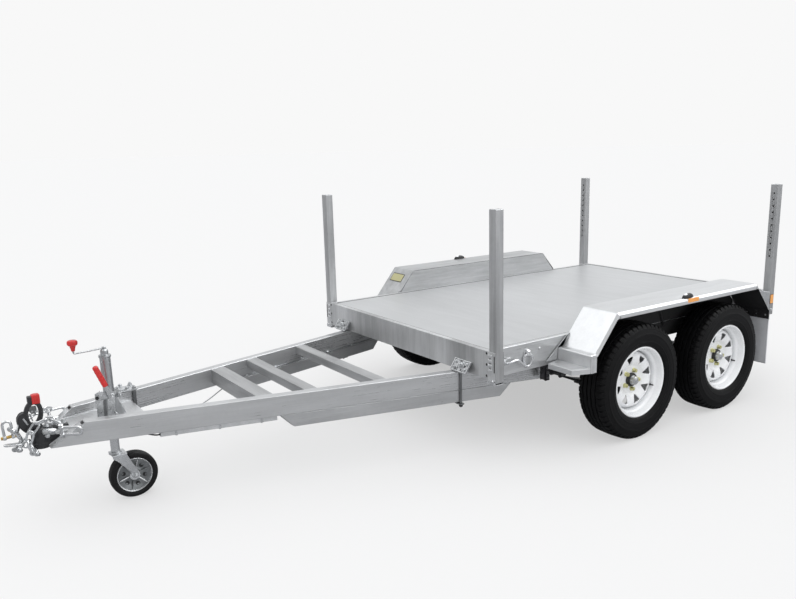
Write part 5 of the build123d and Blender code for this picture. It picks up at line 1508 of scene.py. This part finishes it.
# ---------------------------------------------------------------------------
# small work on the frame: rail end caps, welds, post bracket fittings, joints
# ---------------------------------------------------------------------------
b = Build()
nrm = Vector((0, -0.5680, 0.8230))
for s in (-1, 1):
    fx = lambda sl: ox(-1911 + 145 * sl / 176.1)
    pts = []
    for sl, off in ((1.5, 4.5), (1.5, 47), (158, 47), (158, 4.5)):
        pts.append((s * (fx(sl) - off * 1.032), sl))
    if s < 0:
        pts = pts[::-1]
    b.plate(rounded(pts, 3), Vector((0, -1911, 365)) - nrm * 3.2, nrm, X, 2.6, 0.6, 0)
    # weld bead round the cap
    bead = [(s * (fx(sl) - off * 1.032), -1911 + 145 * sl / 176.1, 365 + 100 * sl / 176.1) for sl, off in ((158, 2.0), (80, 2.0), (3, 2.5), (1.5, 25), (3, 48), (80, 49), (158, 49))]
    b.sweep(bead, 1.8, 8, 1)
    # small drain hole rim near the foot of the cap, with a black disc in it as painted shade for the hole
    b.lathe([(4.0, 0), (6.0, 0), (5.6, 1.4), (4.2, 1.4)], Vector((s * (fx(30) - 26), -1911 + 145 * 30 / 176.1, 365 + 100 * 30 / 176.1)) - nrm * 0.6, nrm, 18, 1, closed=True)
    b.lathe([(0, 0.2), (4.1, 0.2), (4.1, 0.6), (0, 0.6)], Vector((s * (fx(30) - 26), -1911 + 145 * 30 / 176.1, 365 + 100 * 30 / 176.1)) - nrm * 0.6, nrm, 18, 2, ends=False)
    # nose plate welds
    inn = lambda y: s * (ox(y) - 52.4)
    b.sweep([(inn(y), y, 421.2) for y in (-1872, -1800, -1700, -1600, -1484)], 2.6, 8, 1)
    # cross bar welds
    for y0, y1, h in ((-1022, -942, 75), (-792, -727, 45), (-444, -379, 45)):
        zt = 462.0
        for y in (y0 - 1, y1 + 1):
            b.sweep([(s * (ox(y) - 53), y, zt - 2), (s * (ox(y) - 53), y, zt - h + 2)], 2.2, 8, 1)
        b.sweep([(s * (ox(y0) - 53), y0, zt + 0.4), (s * (ox(y1) - 53), y1, zt + 0.4)], 2.2, 8, 1)
    # stitch welds between the two rails
    for k in range(8):
        y = -860 + 140 * k
        pts = [(s * (ox(y + q) + 0.2), y + q, 365.2 + 0.5 * math.sin(q * 0.7)) for q in (0, 8, 16, 24, 32, 40)]
        b.sweep(pts, 1.9, 8, 1)
    # post bracket: bolt holes filled with black discs as painted shade, ribbed latch plate with black dots as painted
    # shade between its rows, a black strip as painted shade for the dark slot, bright foot
    for z in (598, 540, 482):
        b.lathe([(7.0, 0), (8.4, 0), (8.2, 0.9), (7.2, 1.0)], (s * 784, 0.2, z), (0, -1, 0), 20, 0, closed=True)
        b.lathe([(0, 0), (7.3, 0), (7.3, 0.5), (0, 0.5)], (s * 784, 0.1, z), (0, -1, 0), 20, 2, ends=False)
    b.box(*sorted((s * 793, s * 830)), -2.2, 0.3, 503, 602, 1.0, 0)
    for z in (590, 565, 540, 515):
        for x in (804.5, 819.5):
            b.lathe([(0, 0), (7.0, 0), (7.0, 1.6), (5.4, 3.6), (0, 4.2)], (s * x, -1.6, z), (0, -1, 0), 20, 3, ends=False)
        if z < 590:
            b.lathe([(0, 0), (4.0, 0), (4.0, 0.9), (0, 0.9)], (s * 812, -1.9, z + 12.5), (0, -1, 0), 16, 2, ends=False)
    b.box(*sorted((s * 838.5, s * 845)), -1.3, 0.3, 508, 592, 0.5, 2)
    b.hexa((s * 830, 0.0, 459), (0, -1, 0), 12, 6, 3, washer=8)
    # black disc beside the lower bolt: painted shade
    b.lathe([(0, 0), (5.6, 0), (5.6, 0.6), (0, 0.6)], (s * 843, 0.2, 459), (0, -1, 0), 18, 2, ends=False)
    b.plate([(-3.0, 446), (-3.0, 443.4), (56, 443.4), (56, 446)], (s * 790, 0, 0), (s, 0, 0), Y, 60, 1.0, 3) if s > 0 else \
        b.plate([(-3.0, 446), (-3.0, 443.4), (56, 443.4), (56, 446)], (-850, 0, 0), X, Y, 60, 1.0, 3)
    b.plate([(-3.4, 461), (-3.4, 443.6), (-1.2, 443.6), (0.4, 461)], (min(s * 796, s * 848), 0, 0), X, Y, 52, 0.5, 3)
    # rear brackets: bolts
    for z in (486, 540, 594):
        if z < 500:
            b.hexa((s * 848, 2425, z), (s, 0, 0), 13, 5, 0, washer=9)
    # post cap rims and side welds at the brackets
    for y0 in (4.0, 2400.0):
        cap = rounded([(800.5, y0 + 2.5), (845.5, y0 + 2.5), (845.5, y0 + 47.5), (800.5, y0 + 47.5)], 3, 4)
        b.sweep([(s * x, y, 1309.8) for x, y in cap], 1.3, 8, 1, closed=True)
        b.sweep([(s * 849, y0 + 2, 448 + 10), (s * 849, y0 + 2, 600)], 1.6, 8, 1) if y0 < 100 else None
# dark line along each fold between deck sheet and folded edges: painted shade in the crease
for pts in ([(-768, 30, 608.6), (768, 30, 608.6)], [(-768, 2420, 608.6), (768, 2420, 608.6)], [(-768, 30, 608.6), (-768, 2420, 608.6)], [(768, 30, 608.6), (768, 2420, 608.6)]):
    b.sweep([(x, y, 608.1) for x, y, z in pts], 2.4, 8, 4)
b.done("frame_details", ["galv", "weld", "hubblack", "bright_zinc", "crease_shade_line"], "chassis", "galvanised", angle=40)

# blank yellow plate in a dark border on the far guard's front slope
b = Build()
sl = Vector((0, 162, 195)).normalized()
nn = Vector((0, -195, 162)).normalized()
o = Vector((-929, 626, 552 + (626 - 512) * 195 / 162)) + nn * 0.2
b.plate(rounded([(-70, -33), (70, -33), (70, 33), (-70, 33)], 4), o, nn, X, 0.9, 0.3, 1)
b.plate(rounded([(-65, -28), (65, -28), (65, 28), (-65, 28)], 3), o + nn * 0.8, nn, X, 0.9, 0.4, 0)
for x in (-60, 60):
    for v in (-23, 23):
        b.lathe([(0, 0), (2.6, 0), (2.3, 0.9), (0, 1.3)], o + nn * 1.6 + X * x + sl * v, nn, 12, 2, ends=False)
b.done("blank_label", ["yellow_blank", "hubblack", "zinc"], "chassis", "plate_blank")

# brake cable along the frame, in its clips
b = Build()
ir = lambda y: -(605 + 0.25538 * y - 51.6 - 9)
route = [(55, -1617, 452), (53, -1590, 410), (46, -1520, 372), (8, -1425, 350), (-40, -1310, 338),
         (-96, -1190, 338), (-136, -1105, 351), (-180, -1020, 374), (-250, -930, 380), (ir(-820), -820, 378)]
yy = -700.0
while yy < 330:
    route.append((ir(yy), yy, 376 + (1.5 if len(route) % 2 else -1.5)))
    yy += 130.0
route += [(-618, 420, 372), (-636, 540, 362), (-652, 650, 350), (-668, 740, 336), (-704, 800, 324), (-764, 826, 320), (-826.5, 836, 320)]
line = smooth_line(route, 7)
b.sweep(line, 2.5, 10, 0)
for y in (-800, -600, -400, -200, 0, 200):
    x = ir(y)
    b.lathe([(3.0, -6), (4.4, -6), (4.4, 6), (3.0, 6)], (x, y, 376.5), (0.25, 1, 0), 14, 1, closed=True)
    b.box(x - 9.4, x - 3, y - 5, y + 5, 374, 379, 0.8, 1)
# adjuster at the lever and thimble at the far end
b.lathe([(2.6, 0), (6.0, 0), (6.6, 2), (6.6, 26), (5.0, 30), (2.6, 30)], (53.5, -1598, 422), (0.05, -0.53, 0.84), 18, 1, closed=True)
b.lathe([(2.6, 0), (6.5, 0), (6.5, 18), (4.5, 22), (2.6, 22)], (-800, 832, 320), (-1, 0.1, 0), 16, 1, closed=True)
b.done("brake_cable_run", ["cable", "zinc"], "chassis", "cable", replaces=("brake_cable",))


# ---------------------------------------------------------------------------
# floor, light, camera
# ---------------------------------------------------------------------------
bm = bmesh.new()
R = 160.0
rings = [0.5 * 1.6 ** i for i in range(13)]
loops = []
for r in rings:
    loops.append([bm.verts.new((r * math.cos(a * math.pi / 32), r * math.sin(a * math.pi / 32), -0.0005)) for a in range(64)])
c = bm.verts.new((0, 0, -0.0005))
for i in range(64):
    bm.faces.new((c, loops[0][i], loops[0][(i + 1) % 64]))
for a, b in zip(loops[:-1], loops[1:]):
    for i in range(64):
        j = (i + 1) % 64
        bm.faces.new((a[i], b[i], b[j], a[j]))
me = bpy.data.meshes.new("studio_floor")
bm.to_mesh(me)
bm.free()
floor = bpy.data.objects.new("studio_floor", me)
bpy.context.scene.collection.objects.link(floor)
fm = Mat("floor_paper", rough=1.0, spec=0.0)
path = fm.node("ShaderNodeLightPath").outputs
fm.set("base", fm.mix(path["Is Camera Ray"], fm.mix(path["Is Glossy Ray"], (0.62, 0.62, 0.625), (0.36, 0.365, 0.375)), (0.34, 0.34, 0.34)))
fm.set("Emission Color", (1.0, 1.0, 1.0))
fm.set("Emission Strength", fm.math("MULTIPLY", path["Is Camera Ray"], 0.50))
fm.m.cycles.emission_sampling = "NONE"
me.materials.append(fm.m)


def studio_world():
    """Even soft light for matt surfaces; a tent with bright and dim sides for what metal mirrors."""
    w = bpy.data.worlds.new("studio")
    bpy.context.scene.world = w
    w.use_nodes = True
    w.cycles.sampling_method = "NONE"
    nt = w.node_tree
    nt.nodes.clear()

    def add(kind, **kw):
        n = nt.nodes.new(kind)
        for k, v in kw.items():
            setattr(n, k, v)
        return n

    d = add("ShaderNodeTexCoord").outputs["Generated"]

    def dot(v):
        n = add("ShaderNodeVectorMath", operation="DOT_PRODUCT")
        nt.links.new(d, n.inputs[0])
        v = Vector(v).normalized()
        n.inputs[1].default_value = v
        return n.outputs["Value"]

    def ramp(v, a, b, c, e):
        n = add("ShaderNodeMapRange", interpolation_type="SMOOTHSTEP")
        nt.links.new(v, n.inputs["Value"])
        for k, x in zip(("From Min", "From Max", "To Min", "To Max"), (a, b, c, e)):
            n.inputs[k].default_value = x
        return n.outputs["Result"]

    def plus(a, b):
        n = add("ShaderNodeMath", operation="ADD")
        for i, v in ((0, a), (1, b)):
            if isinstance(v, float):
                n.inputs[i].default_value = v
            else:
                nt.links.new(v, n.inputs[i])
        return n.outputs[0]

    def light(total, colour):
        n = add("ShaderNodeBackground")
        nt.links.new(total, n.inputs["Strength"])
        n.inputs["Color"].default_value = (*colour, 1)
        return n.outputs[0]

    tent = plus(ramp(dot((0, 0, 1)), 0.25, 0.95, 0.0, WORLD["top"]), WORLD["base"])
    for direction, a, b, amount in WORLD["lobes"]:
        tent = plus(tent, ramp(dot(direction), a, b, 0.0, amount))
    even = plus(ramp(dot((0, 0, 1)), -0.1, 0.9, 0.0, WORLD["even_top"]), WORLD["even"])
    even = plus(even, ramp(dot((-0.4, -0.5, 0.75)), 0.2, 1.0, 0.0, WORLD["even_key"]))
    even = plus(even, ramp(dot((0.80, -0.45, 0.40)), 0.0, 1.0, 0.0, WORLD["front"]))
    seen = add("ShaderNodeBackground")
    seen.inputs["Color"].default_value = (0.939, 0.939, 0.939, 1)
    path = add("ShaderNodeLightPath").outputs
    m1 = add("ShaderNodeMixShader")
    m2 = add("ShaderNodeMixShader")
    out = add("ShaderNodeOutputWorld")
    nt.links.new(path["Is Glossy Ray"], m1.inputs[0])
    nt.links.new(light(even, (0.985, 0.99, 1.0)), m1.inputs[1])
    nt.links.new(light(tent, (0.975, 0.988, 1.0)), m1.inputs[2])
    nt.links.new(path["Is Camera Ray"], m2.inputs[0])
    nt.links.new(m1.outputs[0], m2.inputs[1])
    nt.links.new(seen.outputs[0], m2.inputs[2])
    nt.links.new(m2.outputs[0], out.inputs["Surface"])


WORLD = {"base": 0.35, "top": 0.5, "even": 0.62, "even_top": 0.42, "even_key": 0.25, "front": 0.65,
         "lobes": [((-0.75, 0.62, 0.20), 0.50, 0.97, 0.50),
                   ((-0.40, -0.44, 0.80), 0.88, 0.97, 1.7),
                   ((0.23, 0.547, 0.79), 0.84, 0.97, 4.2),
                   ((0.82, 0.53, 0.15), 0.78, 0.98, 1.0)]}
studio_world()


def place_camera():
    """Standing view from the front left corner, at the viewing angle of a catalogue shot."""
    yaw, el, roll = math.radians(54.869), math.radians(12.906), math.radians(-1.311)
    back = Vector((math.sin(yaw) * math.cos(el), -math.cos(yaw) * math.cos(el), math.sin(el)))
    x = Vector((0, 0, 1)).cross(back).normalized()
    y = back.cross(x)
    x2 = x * math.cos(roll) + y * math.sin(roll)
    y2 = y * math.cos(roll) - x * math.sin(roll)
    cam = bpy.data.cameras.new("camera")
    cam.sensor_width = 36.0
    cam.lens = 783.225 / 796.0 * 36.0
    cam.shift_x = -(416.33 - 398.0) / 796.0
    cam.shift_y = (320.699 - 299.5) / 796.0
    cam.clip_start, cam.clip_end = 0.1, 500.0
    cam.dof.use_dof = False
    ob = bpy.data.objects.new("camera", cam)
    bpy.context.scene.collection.objects.link(ob)
    m = Matrix((x2, y2, back)).transposed().to_4x4()
    m.translation = D(3658.132, -2445.095, 1633.317)
    ob.matrix_world = m
    bpy.context.scene.camera = ob


place_camera()
bpy.context.scene.view_settings.view_transform = "Standard"
bpy.context.scene.view_settings.look = "None"
